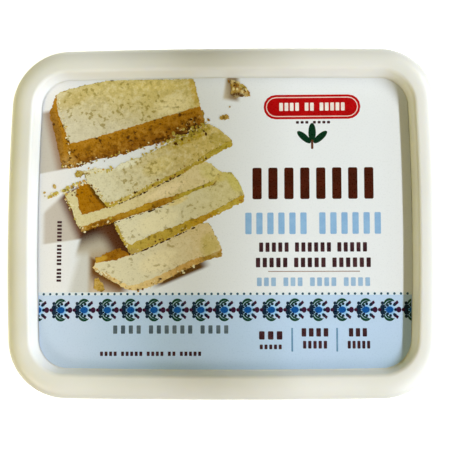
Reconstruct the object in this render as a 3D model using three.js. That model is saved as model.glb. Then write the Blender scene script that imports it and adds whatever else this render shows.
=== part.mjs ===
// A shut halva tub: a low rectangular tub of cream-white plastic, a push-on lid with a sunk panel,
// and the printed label that lies in the panel. The tub is solid, because it is shut and full.
// Millimetres, +Z up. The origin is the middle of the base, and the long sides run along X.
import * as THREE from "three";

// The lid's lower edge, which is the widest outline of the whole tub
const LID_LENGTH = 132.4;
const LID_WIDTH = 107.9;
const CORNER_RADIUS = 18.1;
const END_BOW = 0.76; // how far each short side swells out between its corners
const SIDE_BOW = 0.46; // the same for each long side

// The lid's cross-section, from its lower edge in to the panel
const TOTAL_HEIGHT = 38;
const SKIRT_DROP = 9.5; // from the top of the rim down to the lid's lower edge
const RIM_WIDTH = 9.2; // in plan, from the lid's lower edge to the foot of the panel's wall
const PANEL_DEPTH = 4.2; // from the top of the rim down to the panel
const LID_WALL = 1.0;
const SKIRT_LEAN = 2; // degrees
const SHOULDER_RADIUS = 3.0;
const SHOULDER_TURN = 55; // degrees of the tighter part of the outer shoulder
const CROWN_RADIUS = 6.5; // the flatter arc from the shoulder to the top of the rim
const EDGE_RADIUS = 1.5; // where the top of the rim turns down into the panel
const PANEL_WALL_SLOPE = 70; // degrees below the horizontal
const PANEL_FOOT_RADIUS = 0.5;
const LIP_RADIUS = 0.4; // the rounded outer corner of the lid's lower edge

// The tub under the lid
const FIT_GAP = 0.3; // between the tub and the inside of the lid
const FLANGE_RAISE = 1.2; // the tub's flange starts this far above the lid's lower edge
const WALL_INSET = 3.6; // in plan, from the lid's lower edge to the tub's wall just under the flange
const WALL_LEAN = 7; // degrees
const BASE_RADIUS = 3.5; // where the wall turns into the base
const GROOVE_INSET = 3; // from the end of the base's round edge to the moulded groove
const GROOVE_WIDTH = 1.6;
const GROOVE_DEPTH = 0.6;
const GROOVE_BEVEL = 0.4;

// The label in the panel
const LABEL_THICKNESS = 0.2;
const LABEL_MARGIN = 0.4; // between the label's edge and the foot of the panel's wall
const LABEL_SHIFT = 0.2; // the label sits this far towards +X

// Steps of the curves
const CORNER_STEPS = 10;
const END_STEPS = 8;
const SIDE_STEPS = 8;
const ARC_STEP = 16; // degrees between two points of an arc in a cross-section

const PLASTIC = { color: 0xeeeee0, roughness: 0.38, metalness: 0 };
const PRINTED_FILM = { color: 0xdfe6ea, roughness: 0.3, metalness: 0 };

const rad = THREE.MathUtils.degToRad;
const UP = 90; // headings of a cross-section, in degrees
const INWARDS = 180;
const AXIS = 0; // the reach that marks a point on the middle axis

// A cross-section drawn as a chain of lines and tangent arcs. A point's x is its reach: how far it
// lies outside the core outline below. Its y is its height. A heading of 0 degrees runs outwards.
class Section {
  constructor(reach, height, heading) {
    this.points = [new THREE.Vector2(reach, height)];
    this.heading = heading;
  }

  get end() {
    return this.points[this.points.length - 1];
  }

  to(reach, height) {
    this.points.push(new THREE.Vector2(reach, height));
    return this;
  }

  line(length) {
    const angle = rad(this.heading);
    return this.to(this.end.x + length * Math.cos(angle), this.end.y + length * Math.sin(angle));
  }

  // A positive turn goes to the left.
  arc(radius, turn) {
    const start = this.end;
    const from = this.heading;
    const side = Math.sign(turn);
    const steps = Math.ceil(Math.abs(turn) / ARC_STEP);
    for (let k = 1; k <= steps; k++) {
      const { across, up } = arcSpan(radius * side, from, from + (turn * k) / steps);
      this.to(start.x + across, start.y + up);
    }
    this.heading = from + turn;
    return this;
  }
}

// How far an arc gets, from one heading to another
function arcSpan(radius, from, to) {
  return {
    across: radius * (Math.sin(rad(to)) - Math.sin(rad(from))),
    up: radius * (Math.cos(rad(from)) - Math.cos(rad(to))),
  };
}

const LID_EDGE_HEIGHT = TOTAL_HEIGHT - SKIRT_DROP;
const PANEL_HEIGHT = TOTAL_HEIGHT - PANEL_DEPTH;
const SKIRT_HEADING = UP + SKIRT_LEAN;
const CROWN_HEADING = SKIRT_HEADING + SHOULDER_TURN;
const WALL_HEADING = INWARDS + PANEL_WALL_SLOPE;
const LIP_TOP = LID_EDGE_HEIGHT + arcSpan(LIP_RADIUS, 0, SKIRT_HEADING).up;

// Where the rim's straight runs end, worked out so that it comes to its stated width and depth
function rimTurns() {
  const shoulder = arcSpan(SHOULDER_RADIUS, SKIRT_HEADING, CROWN_HEADING);
  const crown = arcSpan(CROWN_RADIUS, CROWN_HEADING, INWARDS);
  const edge = arcSpan(EDGE_RADIUS, INWARDS, WALL_HEADING);
  const foot = arcSpan(-PANEL_FOOT_RADIUS, WALL_HEADING, INWARDS);
  const skirtTop = TOTAL_HEIGHT - shoulder.up - crown.up;
  const skirtAcross = (LIP_TOP - skirtTop) * Math.tan(rad(SKIRT_LEAN));
  const wallRun = (-PANEL_DEPTH - edge.up - foot.up) / Math.sin(rad(WALL_HEADING));
  const wallAcross = wallRun * Math.cos(rad(WALL_HEADING));
  const turned = skirtAcross + shoulder.across + crown.across + edge.across + wallAcross + foot.across;
  return { skirtTop, topRun: RIM_WIDTH + turned, wallRun };
}

const TURNS = rimTurns();

// The reach of the skirt's outer face at a height, moved into the material by depth
function skirtReach(depth, height) {
  const lean = rad(SKIRT_LEAN);
  return CORNER_RADIUS - depth / Math.cos(lean) - (height - LIP_TOP) * Math.tan(lean);
}

// Takes a section that stands on the skirt up over the rim and down to the panel. The section lies
// inside the lid's outer face by depth.
function followRim(section, depth) {
  const lower = depth * Math.sin(rad(SKIRT_LEAN));
  return section
    .line((TURNS.skirtTop - lower - section.end.y) / Math.cos(rad(SKIRT_LEAN)))
    .arc(SHOULDER_RADIUS - depth, SHOULDER_TURN)
    .arc(CROWN_RADIUS - depth, INWARDS - CROWN_HEADING)
    .line(TURNS.topRun)
    .arc(EDGE_RADIUS - depth, PANEL_WALL_SLOPE)
    .line(TURNS.wallRun)
    .arc(PANEL_FOOT_RADIUS + depth, -PANEL_WALL_SLOPE);
}

// The core outline: a rectangle with swelling sides, one corner radius inside the lid's lower edge.
// Each entry is a point of it and the way straight out of the wall there, anticlockwise from above.
function coreOutline() {
  const cornerX = LID_LENGTH / 2 - CORNER_RADIUS - END_BOW;
  const cornerY = LID_WIDTH / 2 - CORNER_RADIUS - SIDE_BOW;
  const endAngle = Math.atan2(2 * END_BOW, cornerY);
  const sideAngle = Math.atan2(cornerX, 2 * SIDE_BOW);
  const columns = [];
  const add = (x, y, angle) => columns.push({ x, y, outX: Math.cos(angle), outY: Math.sin(angle) });
  for (const half of [0, Math.PI]) {
    const sign = half === 0 ? 1 : -1;
    for (let k = 0; k < END_STEPS; k++) {
      const t = (2 * k) / END_STEPS - 1;
      const x = cornerX + END_BOW * (1 - t * t);
      add(sign * x, sign * cornerY * t, half + Math.atan2(2 * END_BOW * t, cornerY));
    }
    for (let k = 0; k < CORNER_STEPS; k++) {
      const angle = THREE.MathUtils.lerp(endAngle, sideAngle, k / CORNER_STEPS);
      add(sign * cornerX, sign * cornerY, half + angle);
    }
    for (let k = 0; k < SIDE_STEPS; k++) {
      const t = 1 - (2 * k) / SIDE_STEPS;
      const y = cornerY + SIDE_BOW * (1 - t * t);
      add(sign * cornerX * t, sign * y, half + Math.atan2(cornerX, 2 * SIDE_BOW * t));
    }
    for (let k = 0; k < CORNER_STEPS; k++) {
      const angle = THREE.MathUtils.lerp(Math.PI - sideAngle, Math.PI - endAngle, k / CORNER_STEPS);
      add(-sign * cornerX, sign * cornerY, half + angle);
    }
  }
  return columns;
}

const CORE = coreOutline();

// Takes a cross-section round the core outline.
function wrap(points) {
  const geometry = new THREE.LatheGeometry(points, CORE.length);
  const position = geometry.attributes.position;
  for (let i = 0; i < position.count; i++) {
    const { x: reach, y: height } = points[i % points.length];
    const column = CORE[Math.floor(i / points.length) % CORE.length];
    const x = reach === AXIS ? 0 : column.x + column.outX * reach;
    const y = reach === AXIS ? 0 : column.y + column.outY * reach;
    position.setXYZ(i, x, y, height);
  }
  geometry.computeVertexNormals();
  return geometry;
}

// The tub: grooved base, leaning wall, and a flange that fills the skirt of the lid. It is solid up
// to the underside of the lid's panel.
function makeTub() {
  const flangeHeight = LID_EDGE_HEIGHT + FLANGE_RAISE;
  const topHeight = PANEL_HEIGHT - LID_WALL - FIT_GAP;
  const flangeDepth = LID_WALL + FIT_GAP;
  const baseEdge = arcSpan(BASE_RADIUS, 0, UP - WALL_LEAN);
  const wallRun = (flangeHeight - baseEdge.up) / Math.cos(rad(WALL_LEAN));
  const wallAcross = wallRun * Math.sin(rad(WALL_LEAN));
  const flatReach = CORNER_RADIUS - WALL_INSET - wallAcross - baseEdge.across;
  const grooveOuter = flatReach - GROOVE_INSET;
  const grooveInner = grooveOuter - GROOVE_WIDTH;
  const section = new Section(AXIS, 0, 0)
    .to(grooveInner, 0)
    .to(grooveInner + GROOVE_BEVEL, GROOVE_DEPTH)
    .to(grooveOuter - GROOVE_BEVEL, GROOVE_DEPTH)
    .to(grooveOuter, 0)
    .to(flatReach, 0)
    .arc(BASE_RADIUS, UP - WALL_LEAN)
    .line(wallRun)
    .to(skirtReach(flangeDepth, flangeHeight), flangeHeight)
    .to(skirtReach(flangeDepth, topHeight), topHeight)
    .to(AXIS, topHeight);
  return wrap(section.points);
}

// The lid: one wall thickness of skirt, rolled rim, sunk wall and panel, open underneath
function makeLid() {
  const lip = new Section(CORNER_RADIUS - LIP_RADIUS, LID_EDGE_HEIGHT, 0).arc(LIP_RADIUS, SKIRT_HEADING);
  const outside = followRim(lip, 0);
  const innerFoot = skirtReach(LID_WALL, LID_EDGE_HEIGHT);
  const inside = followRim(new Section(innerFoot, LID_EDGE_HEIGHT, SKIRT_HEADING), LID_WALL);
  outside.to(AXIS, outside.end.y);
  inside.to(AXIS, inside.end.y);
  return wrap([...inside.points.reverse(), ...outside.points]);
}

// The label: a thin sheet of one outline with the panel, a little smaller
function makeLabel() {
  const reach = CORNER_RADIUS - RIM_WIDTH - LABEL_MARGIN;
  const sheet = new Section(AXIS, PANEL_HEIGHT, 0)
    .to(reach, PANEL_HEIGHT)
    .to(reach, PANEL_HEIGHT + LABEL_THICKNESS)
    .to(AXIS, PANEL_HEIGHT + LABEL_THICKNESS);
  return wrap(sheet.points);
}

function addPiece(group, name, geometry, finish) {
  const mesh = new THREE.Mesh(geometry, new THREE.MeshStandardMaterial(finish));
  mesh.name = name;
  group.add(mesh);
  return mesh;
}

const halvaTub = new THREE.Group();
halvaTub.name = "halva_tub";
addPiece(halvaTub, "tub", makeTub(), PLASTIC);
addPiece(halvaTub, "lid", makeLid(), PLASTIC);
const label = addPiece(halvaTub, "label", makeLabel(), PRINTED_FILM);
label.position.x = LABEL_SHIFT;

export default halvaTub;
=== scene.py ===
"""Looks of a shut halva tub: a cream-white plastic tub, its push-on lid, and the printed label in the lid.

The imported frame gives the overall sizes. Shapes are drawn in millimetres in the frame's own axes, +Z up and
+X to the right of the print as it is read, and a finished mesh is scaled to metres.
"""

import logging
import math
import random
from dataclasses import dataclass, replace
from enum import Enum
from functools import cached_property
from typing import Mapping, Sequence

import bmesh
import bpy
from mathutils import Matrix, Vector


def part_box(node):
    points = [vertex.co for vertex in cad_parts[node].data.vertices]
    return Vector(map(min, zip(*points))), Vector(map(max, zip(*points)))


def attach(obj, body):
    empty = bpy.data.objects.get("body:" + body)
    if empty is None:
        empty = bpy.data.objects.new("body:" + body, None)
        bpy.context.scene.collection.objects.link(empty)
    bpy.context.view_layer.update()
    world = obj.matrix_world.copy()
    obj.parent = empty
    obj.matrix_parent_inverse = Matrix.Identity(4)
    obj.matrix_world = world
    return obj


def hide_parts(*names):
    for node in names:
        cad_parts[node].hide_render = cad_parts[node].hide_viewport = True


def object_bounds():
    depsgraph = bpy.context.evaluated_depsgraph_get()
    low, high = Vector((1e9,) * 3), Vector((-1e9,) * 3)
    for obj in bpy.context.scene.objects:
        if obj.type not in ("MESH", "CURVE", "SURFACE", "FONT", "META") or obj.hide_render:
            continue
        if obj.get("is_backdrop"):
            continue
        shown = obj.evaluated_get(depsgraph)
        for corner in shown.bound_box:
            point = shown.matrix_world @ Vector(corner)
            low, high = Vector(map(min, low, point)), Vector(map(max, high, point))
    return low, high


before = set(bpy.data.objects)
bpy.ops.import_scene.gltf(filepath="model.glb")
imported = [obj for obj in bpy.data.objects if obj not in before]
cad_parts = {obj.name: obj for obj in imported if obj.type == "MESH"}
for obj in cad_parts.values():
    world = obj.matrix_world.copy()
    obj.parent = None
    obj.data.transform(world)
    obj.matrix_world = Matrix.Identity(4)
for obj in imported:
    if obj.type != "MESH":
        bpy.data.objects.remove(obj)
cad_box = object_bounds()

LOG = logging.getLogger("halva_tub")
BODY = "root"
METRE = 1000.0  # millimetres
IMAGE_WIDTH = 450  # pixels of the finished picture
SENSOR_WIDTH = 36.0  # millimetres
MERGE_DISTANCE = 0.02  # millimetres
UP = 90.0  # headings of a cross-section, in degrees
INWARDS = 180.0

Point = tuple[float, float]
Triple = tuple[float, float, float]
Color = tuple[float, float, float, float]
ACROSS: Triple = (1.0, 0.0, 0.0)  # to the right of the print
UPWARDS: Triple = (0.0, 1.0, 0.0)  # up the print
BLACK: Color = (0.0, 0.0, 0.0, 1.0)
WHITE: Color = (1.0, 1.0, 1.0, 1.0)


def srgb(code: str) -> Color:
    """Turns a colour code into scene-linear values.

    Args:
        code: six hexadecimal digits, red first.

    Returns:
        Red, green, blue and an alpha of one.
    """
    values = [int(code[k:k + 2], 16) / 255 for k in (0, 2, 4)]
    linear = [v / 12.92 if v <= 0.04045 else ((v + 0.055) / 1.055) ** 2.4 for v in values]
    return (*linear, 1.0)


# ---------------------------------------------------------------------------------------------------------
# Shader maths
# ---------------------------------------------------------------------------------------------------------


class Socket:
    """An output of a node that takes part in arithmetic, so that shader maths reads as an expression."""

    def __init__(self, bench: "NodeBench", socket: bpy.types.NodeSocket) -> None:
        """Wraps one output socket of the bench's tree."""
        self.bench = bench
        self.socket = socket

    def _math(self, operation: str, *values: "Socket | float") -> "Socket":
        """Adds one Math node with those inputs."""
        return self.bench.node("ShaderNodeMath", {"operation": operation}, dict(enumerate(values)))

    def __add__(self, other: "Socket | float") -> "Socket":
        """self + other"""
        return self._math("ADD", self, other)

    def __radd__(self, other: float) -> "Socket":
        """other + self"""
        return self._math("ADD", other, self)

    def __sub__(self, other: "Socket | float") -> "Socket":
        """self - other"""
        return self._math("SUBTRACT", self, other)

    def __rsub__(self, other: float) -> "Socket":
        """other - self"""
        return self._math("SUBTRACT", other, self)

    def __mul__(self, other: "Socket | float") -> "Socket":
        """self * other"""
        return self._math("MULTIPLY", self, other)

    def __rmul__(self, other: float) -> "Socket":
        """other * self"""
        return self._math("MULTIPLY", other, self)

    def __truediv__(self, other: "Socket | float") -> "Socket":
        """self / other"""
        return self._math("DIVIDE", self, other)

    def at_least(self, other: "Socket | float") -> "Socket":
        """The larger of the two."""
        return self._math("MAXIMUM", self, other)

    def rise(self, start: float, end: float) -> "Socket":
        """A smooth step.

        Args:
            start: the value where the step leaves 0.
            end: the value where it reaches 1; it may be below start.

        Returns:
            0 before start, 1 past end.
        """
        settings = {"interpolation_type": "SMOOTHSTEP"}
        inputs = {"Value": self, "From Min": start, "From Max": end, "To Min": 0.0, "To Max": 1.0}
        return self.bench.node("ShaderNodeMapRange", settings, inputs)


class NodeBench:
    """Builds one material's node tree."""

    def __init__(self, name: str) -> None:
        """Starts an empty material.

        Args:
            name: the material's name.
        """
        self.material = bpy.data.materials.new(name)
        self.material.use_nodes = True
        self.tree = self.material.node_tree
        self.tree.nodes.clear()

    def node(self, kind: str, settings: Mapping[str, object] | None = None,
             inputs: Mapping[str | int, object] | None = None, output: str | int = 0) -> Socket:
        """Adds a node.

        Args:
            kind: the node's type.
            settings: its properties, set before its inputs.
            inputs: values or sockets by the input's name or number.
            output: the output that is wanted.

        Returns:
            That output.
        """
        made = self.tree.nodes.new(kind)
        for name, value in (settings or {}).items():
            setattr(made, name, value)
        for key, value in (inputs or {}).items():
            if isinstance(value, Socket):
                self.tree.links.new(value.socket, made.inputs[key])
            else:
                made.inputs[key].default_value = value
        return Socket(self, made.outputs[output])

    @cached_property
    def place(self) -> Socket:
        """The object's own coordinates, in millimetres, as a vector."""
        metres = self.node("ShaderNodeTexCoord", output="Object")
        return self.node("ShaderNodeVectorMath", {"operation": "SCALE"}, {0: metres, "Scale": METRE})

    def along(self, direction: Triple) -> Socket:
        """How far a place lies along a direction, in millimetres."""
        return self.node("ShaderNodeVectorMath", {"operation": "DOT_PRODUCT"}, {0: self.place, 1: direction},
                         output="Value")

    def noise(self, size: float, detail: float = 2.0, roughness: float = 0.5) -> Socket:
        """Noise around a half, in clouds of that size, with that many finer octaves of that strength."""
        inputs = {"Vector": self.place, "Scale": 1 / size, "Detail": detail, "Roughness": roughness}
        return self.node("ShaderNodeTexNoise", inputs=inputs)

    def cells(self, size: float) -> Socket:
        """Distance to the middle of the nearest scattered cell, in cell widths."""
        inputs = {"Vector": self.place, "Scale": 1 / size}
        return self.node("ShaderNodeTexVoronoi", inputs=inputs, output="Distance")

    def mix(self, share: Socket | float, first: Socket | Color, second: Socket | Color) -> Socket:
        """Mixes two colours by the share of the second."""
        return self.node("ShaderNodeMix", {"data_type": "RGBA"}, {0: share, 6: first, 7: second}, output=2)

    def bump(self, height: Socket, depth: float, strength: float = 1.0, coarse: Socket | None = None) -> Socket:
        """A surface normal that follows a height.

        Args:
            height: values from 0 to 1.
            depth: depth in millimetres of a height of one.
            strength: share of the effect.
            coarse: the normal that it is laid over, if there is one.

        Returns:
            The normal.
        """
        inputs = {"Height": height, "Distance": depth / METRE, "Strength": strength}
        if coarse is not None:
            inputs["Normal"] = coarse
        return self.node("ShaderNodeBump", inputs=inputs)

    def finish(self, inputs: Mapping[str | int, object]) -> bpy.types.Material:
        """Ends the tree in a Principled surface.

        Args:
            inputs: the shader's inputs.

        Returns:
            The finished material.
        """
        surface = self.node("ShaderNodeBsdfPrincipled", inputs=inputs)
        end = self.tree.nodes.new("ShaderNodeOutputMaterial")
        self.tree.links.new(surface.socket, end.inputs["Surface"])
        return self.material


# ---------------------------------------------------------------------------------------------------------
# Finishes
# ---------------------------------------------------------------------------------------------------------


@dataclass(frozen=True)
class SatinPlastic:
    """Injection-moulded plastic with a soft sheen.

    Attributes:
        name: the material's name.
        color: the plastic's own colour.
        flow_color: the slightly different shade that the melt leaves in wide streaks.
        speck_color: of the few specks in it.
        speck_strength: share of that colour in a speck.
        streak_size: width of a streak, in millimetres.
        speck_gap: from one speck to the next.
        wave_size: width of the skin's waves.
        wave_depth: their depth.
        grain_size: width of its fine grain.
        grain_depth: the grain's depth.
        roughness: of the moulded skin.
        specular: level of its reflections.
        translucence: share of light that spreads under the skin.
        spread: how far it spreads, in millimetres.
        spread_tint: the same for red, green and blue, as shares of the spread.
    """

    name: str
    color: Color = srgb("eaeae9")
    flow_color: Color = srgb("e4e4e1")
    speck_color: Color = srgb("b9b49c")
    speck_strength: float = 0.25
    streak_size: float = 28.0
    speck_gap: float = 7.0
    wave_size: float = 5.0
    wave_depth: float = 0.02
    grain_size: float = 0.35
    grain_depth: float = 0.004
    roughness: float = 0.36
    specular: float = 0.45
    translucence: float = 0.25
    spread: float = 1.6
    spread_tint: Triple = (1.0, 0.85, 0.55)

    def material(self) -> bpy.types.Material:
        """Builds the material.

        Returns:
            The material.
        """
        bench = NodeBench(self.name)
        grain, waves = bench.noise(self.grain_size, 3.0, 0.6), bench.noise(self.wave_size)
        color = bench.mix(bench.noise(self.streak_size).rise(0.35, 0.7), self.color, self.flow_color)
        speck = bench.cells(self.speck_gap).rise(0.05, 0.03) * bench.noise(3.0).rise(0.55, 0.6)
        coarse = bench.bump(waves, self.wave_depth)
        return bench.finish({
            "Base Color": bench.mix(speck * self.speck_strength, color, self.speck_color),
            "Roughness": self.roughness + (grain - 0.5) * 0.08 + (waves - 0.5) * 0.06,
            "Subsurface Weight": self.translucence,
            "Subsurface Radius": self.spread_tint,
            "Subsurface Scale": self.spread / METRE,
            "Specular IOR Level": self.specular,
            "Normal": bench.bump(grain, self.grain_depth, 0.6, coarse),
        })


@dataclass(frozen=True)
class Film:
    """The skin that the whole label shares: smooth film, a little wavy where it bonded to the plastic.

    Attributes:
        roughness: of the film.
        specular: level of its reflections.
        wave_depth: height of its waves, in millimetres.
        wave_size: their width.
        grain_size: width of its fine grain.
    """

    roughness: float = 0.28
    specular: float = 0.4
    wave_depth: float = 0.012
    wave_size: float = 9.0
    grain_size: float = 0.5

    def finish(self, bench: NodeBench, color: Socket) -> bpy.types.Material:
        """Ends a print's tree in the film's gloss and waves.

        Args:
            bench: the material in the making.
            color: of the print.

        Returns:
            The finished material.
        """
        waves, grain = bench.noise(self.wave_size), bench.noise(self.grain_size)
        return bench.finish({
            "Base Color": color,
            "Roughness": self.roughness + (grain - 0.5) * 0.06,
            "Specular IOR Level": self.specular,
            "Normal": bench.bump(waves * 0.9 + grain * 0.1, self.wave_depth),
        })


@dataclass(frozen=True)
class Run:
    """A straight run across the label along which a print changes its colour.

    Attributes:
        start: a point where the run starts, in millimetres.
        turn: its direction in degrees, anticlockwise from +X.
        length: in millimetres.
    """

    start: Point
    turn: float
    length: float

    def share(self, bench: NodeBench) -> Socket:
        """How far along the run a place lies: 0 at its start, 1 at its end."""
        x, y = math.cos(math.radians(self.turn)), math.sin(math.radians(self.turn))
        return (bench.along((x, y, 0.0)) - (self.start[0] * x + self.start[1] * y)) / self.length


@dataclass(frozen=True)
class SoftShadow:
    """A shadow in a printed picture, with soft edges.

    Attributes:
        near: its colour code at the start of the fade.
        far: its colour code at the end.
        fade: the run from near to far.
        edges: runs that cross its edges inwards, each from outside it to inside.
    """

    near: str
    far: str
    fade: Run
    edges: tuple[Run, ...]

    def over(self, bench: NodeBench, ground: Socket) -> Socket:
        """Lays the shadow over a ground.

        Args:
            bench: the material in the making.
            ground: colour of what it falls on.

        Returns:
            The shaded colour.
        """
        color = bench.mix(self.fade.share(bench).rise(0.0, 1.0), srgb(self.near), srgb(self.far))
        inside = 1.0
        for edge in self.edges:
            inside = edge.share(bench).rise(0.0, 1.0) * inside
        return bench.mix(inside, ground, color)


PICTURE_SHADOWS = (
    SoftShadow("a48a78", "c8c2ba", Run((-51.1, 22.6), 193.6, 3.0), (  # left of the block
        Run((-55.6, 15.0), 100.7, 0.7), Run((-54.5, 35.4), -80.0, 1.6), Run((-45.0, 25.0), 180.0, 1.0))),
    SoftShadow("6a4430", "c6beb6", Run((-49.0, 8.9), 204.8, 3.6), (  # left of the second slice
        Run((-56.0, 0.0), 0.0, 1.8), Run((-54.7, 4.6), -47.2, 1.6), Run((-54.9, -7.0), 97.9, 0.8),
        Run((-41.6, -4.0), 180.0, 1.2), Run((-48.0, 10.0), -68.0, 0.8))),
    SoftShadow("b4a48e", "d0d0ce", Run((-40.0, -14.0), 180.0, 2.0), (  # left of the last slice
        Run((-44.7, -7.0), -14.9, 2.8), Run((-42.0, -4.2), -82.0, 0.9), Run((-31.0, -9.0), 180.0, 1.5))),
    SoftShadow("40200f", "bab2a4", Run((-43.3, -3.2), -70.4, 6.0), (  # below the second slice
        Run((-44.3, -4.0), -15.0, 1.6), Run((-38.0, -10.4), 100.0, 3.4), Run((-38.0, 2.5), -80.0, 1.0),
        Run((-27.0, -5.0), 180.0, 2.0))),
    SoftShadow("502c16", "5a3620", Run((-33.8, -0.3), 209.8, 3.0), (  # left of the third slice
        Run((-39.0, -4.9), 29.8, 4.4), Run((-36.0, 1.5), -70.0, 1.0), Run((-33.0, -12.0), 90.0, 1.5),
        Run((-27.0, -6.0), 180.0, 1.5))),
    SoftShadow("70481f", "ccbcaa", Run((-37.6, -16.1), 242.3, 4.6), (  # below the last slice's left end
        Run((-41.5, -18.0), 0.0, 2.0), Run((-27.5, -21.0), 150.0, 4.0), Run((-33.0, -14.0), 242.3, 1.0))),
    SoftShadow("5e3f16", "6a4a20", Run((-13.0, -16.0), -67.5, 1.0), (  # below the last slice
        Run((-12.6, -17.5), 112.5, 1.2), Run((-23.0, -19.0), 22.5, 5.0), Run((-3.2, -12.6), 202.5, 4.0),
        Run((-13.0, -13.0), -67.5, 1.0))),
    SoftShadow("96836a", "c4b9a4", Run((2.6, 41.0), 185.0, 2.6), (  # left of the upper crumb
        Run((-0.4, 40.5), -8.0, 1.3), Run((1.0, 37.2), 80.0, 1.5), Run((5.6, 38.6), 180.0, 2.0))),
)


@dataclass(frozen=True)
class LabelPrint:
    """The label's ground: white film above, a pale blue field below, and a paler strip where they meet.

    Attributes:
        name: the material's name.
        film: the label's skin.
        white: the unprinted film.
        warm_lit_white: the film towards its left end, painted warmer and paler: painted warm light.
        warm_light_run: x where the painted warm light starts on the film, and where it is full, in millimetres.
        field_middle: the blue field in its middle.
        lit_field_end: the blue field towards its left end, painted paler by the same painted warm light.
        field_light_run: x where that painted light starts on the field, and where it is full.
        field_cloud: of the soft clouds in the field.
        cloud_share: share of that colour in a cloud.
        cloud_size: width of a cloud, in millimetres.
        strip: the pale strip.
        field_top: height of the field's upper edge on the label, in millimetres.
        strip_top: height of the pale strip's upper edge.
        edge: half the softness of both edges, in millimetres.
        shadows: of the picture on the white.
    """

    name: str
    film: Film
    white: Color = srgb("e7ecf5")
    # painted light: a warmer, paler white towards the left end stands for warm light falling there
    warm_lit_white: Color = srgb("ebebee")
    warm_light_run: Point = (-38.0, -50.0)
    field_middle: Color = srgb("bcd5f7")
    # painted light: the field is paler towards the left end, for the same warm light
    lit_field_end: Color = srgb("c8d9f3")
    field_light_run: Point = (-20.0, -52.0)
    field_cloud: Color = srgb("a8c8dc")
    cloud_share: float = 0.18
    cloud_size: float = 16.0
    strip: Color = srgb("e0eaf4")
    field_top: float = -22.25
    strip_top: float = -21.35
    edge: float = 0.12
    shadows: tuple[SoftShadow, ...] = PICTURE_SHADOWS

    def material(self) -> bpy.types.Material:
        """Builds the material.

        Returns:
            The material.
        """
        bench = NodeBench(self.name)
        across, up = bench.along(ACROSS), bench.along(UPWARDS)
        clouds = bench.noise(self.cloud_size)
        # painted light: the ground turns warmer and paler towards the left end
        ground = bench.mix((across + clouds * 6.0).rise(*self.warm_light_run), self.white, self.warm_lit_white)
        for shadow in self.shadows:
            ground = shadow.over(bench, ground)
        # painted light: the blue field turns paler towards the left end
        field = bench.mix((across + clouds * 10.0).rise(*self.field_light_run), self.field_middle, self.lit_field_end)
        field = bench.mix(clouds.rise(0.3, 0.8) * self.cloud_share, field, self.field_cloud)
        for top, color in ((self.strip_top, self.strip), (self.field_top, field)):
            ground = bench.mix(up.rise(top + self.edge, top - self.edge), ground, color)
        return self.film.finish(bench, ground)


@dataclass(frozen=True)
class Ink:
    """One flat printing ink, a little uneven.

    Attributes:
        name: the material's name.
        film: the label's skin.
        color: the ink.
        thin_color: the same where it lies thinner.
        patch: width of a thinner patch, in millimetres.
    """

    name: str
    film: Film
    color: Color
    thin_color: Color
    patch: float = 2.5

    def material(self) -> bpy.types.Material:
        """Builds the material.

        Returns:
            The material.
        """
        bench = NodeBench(self.name)
        uneven = bench.noise(self.patch, 3.0).rise(0.35, 0.7)
        return self.film.finish(bench, bench.mix(uneven, self.color, self.thin_color))


@dataclass(frozen=True)
class Stain:
    """A soft oval patch of another colour in a print.

    Attributes:
        middle: of the oval, in millimetres.
        size: its half length and half width.
        turn: of its length, in degrees anticlockwise from +X.
        code: its colour code.
        strength: share of that colour in its middle.
    """

    middle: Point
    size: Point
    turn: float
    code: str
    strength: float = 0.8

    def over(self, bench: NodeBench, wobble: Socket, ground: Socket) -> Socket:
        """Lays the stain over a ground.

        Args:
            bench: the material in the making.
            wobble: what makes its edge uneven, around zero.
            ground: colour of what it lies on.

        Returns:
            The stained colour.
        """
        along = Run(self.middle, self.turn, self.size[0]).share(bench)
        across = Run(self.middle, self.turn + 90.0, self.size[1]).share(bench)
        share = (along * along + across * across + wobble).rise(1.6, 0.2) * self.strength
        return bench.mix(share, ground, srgb(self.code))


@dataclass(frozen=True)
class Tones:
    """The colour codes of one pictured face: its light and dark ends, its pores and its crumbs."""

    light: str
    dark: str
    pore: str = "8f7c28"
    crumb: str = "f6f0d4"


@dataclass(frozen=True)
class PicturedHalva:
    """A printed crumbly face of halva.

    Attributes:
        name: the material's name.
        film: the label's skin.
        run: in which it gets from its light to its dark tone, and more broken.
        tones: its colours.
        broken: 0 for a smooth cut face, 1 for a broken one.
        stains: patches of other colours in it.
        cluster: width of a group of pores, in millimetres.
        lump: width of a pore.
        crust: width of a patch of broken crust.
        grit: width of a grain.
    """

    name: str
    film: Film
    run: Run
    tones: Tones
    broken: float = 0.5
    stains: tuple[Stain, ...] = ()
    cluster: float = 5.0
    lump: float = 1.35
    crust: float = 1.5
    grit: float = 0.5

    def material(self) -> bpy.types.Material:
        """Builds the material.

        Returns:
            The material.
        """
        bench = NodeBench(self.name)
        clouds = bench.noise(self.cluster, 3.0, 0.55)
        lumps = bench.noise(self.lump, 2.0, 0.6)
        crust = bench.noise(self.crust, 2.0, 0.6)
        grit = bench.noise(self.grit, 2.0, 0.7)
        pore, crumb = srgb(self.tones.pore), srgb(self.tones.crumb)
        along = self.run.share(bench)
        wobble = clouds - 0.5 + (lumps - 0.5) * 0.9
        color = bench.mix((along + wobble * 0.5).rise(-0.1, 1.1), srgb(self.tones.light), srgb(self.tones.dark))
        for stain in self.stains:
            color = stain.over(bench, wobble, color)
        rough = (along.rise(-0.2, 0.6) * 0.6 + 0.4) * (clouds.rise(0.62, 0.42) * 0.7 + 0.3) * self.broken
        for share, tone in (
            (crust.rise(0.48, 0.66) * rough, crumb),
            (crust.rise(0.5, 0.34) * rough, pore),
            (grit.rise(0.5, 0.8) * (0.08 + 0.35 * self.broken), crumb),
            (grit.rise(0.5, 0.24) * (0.1 + 0.4 * self.broken), pore),
            (lumps.rise(0.545, 0.63) * clouds.rise(0.47, 0.56) * (0.45 + 0.75 * self.broken), pore),
        ):
            color = bench.mix(share, color, tone)
        return self.film.finish(bench, color)


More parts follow.
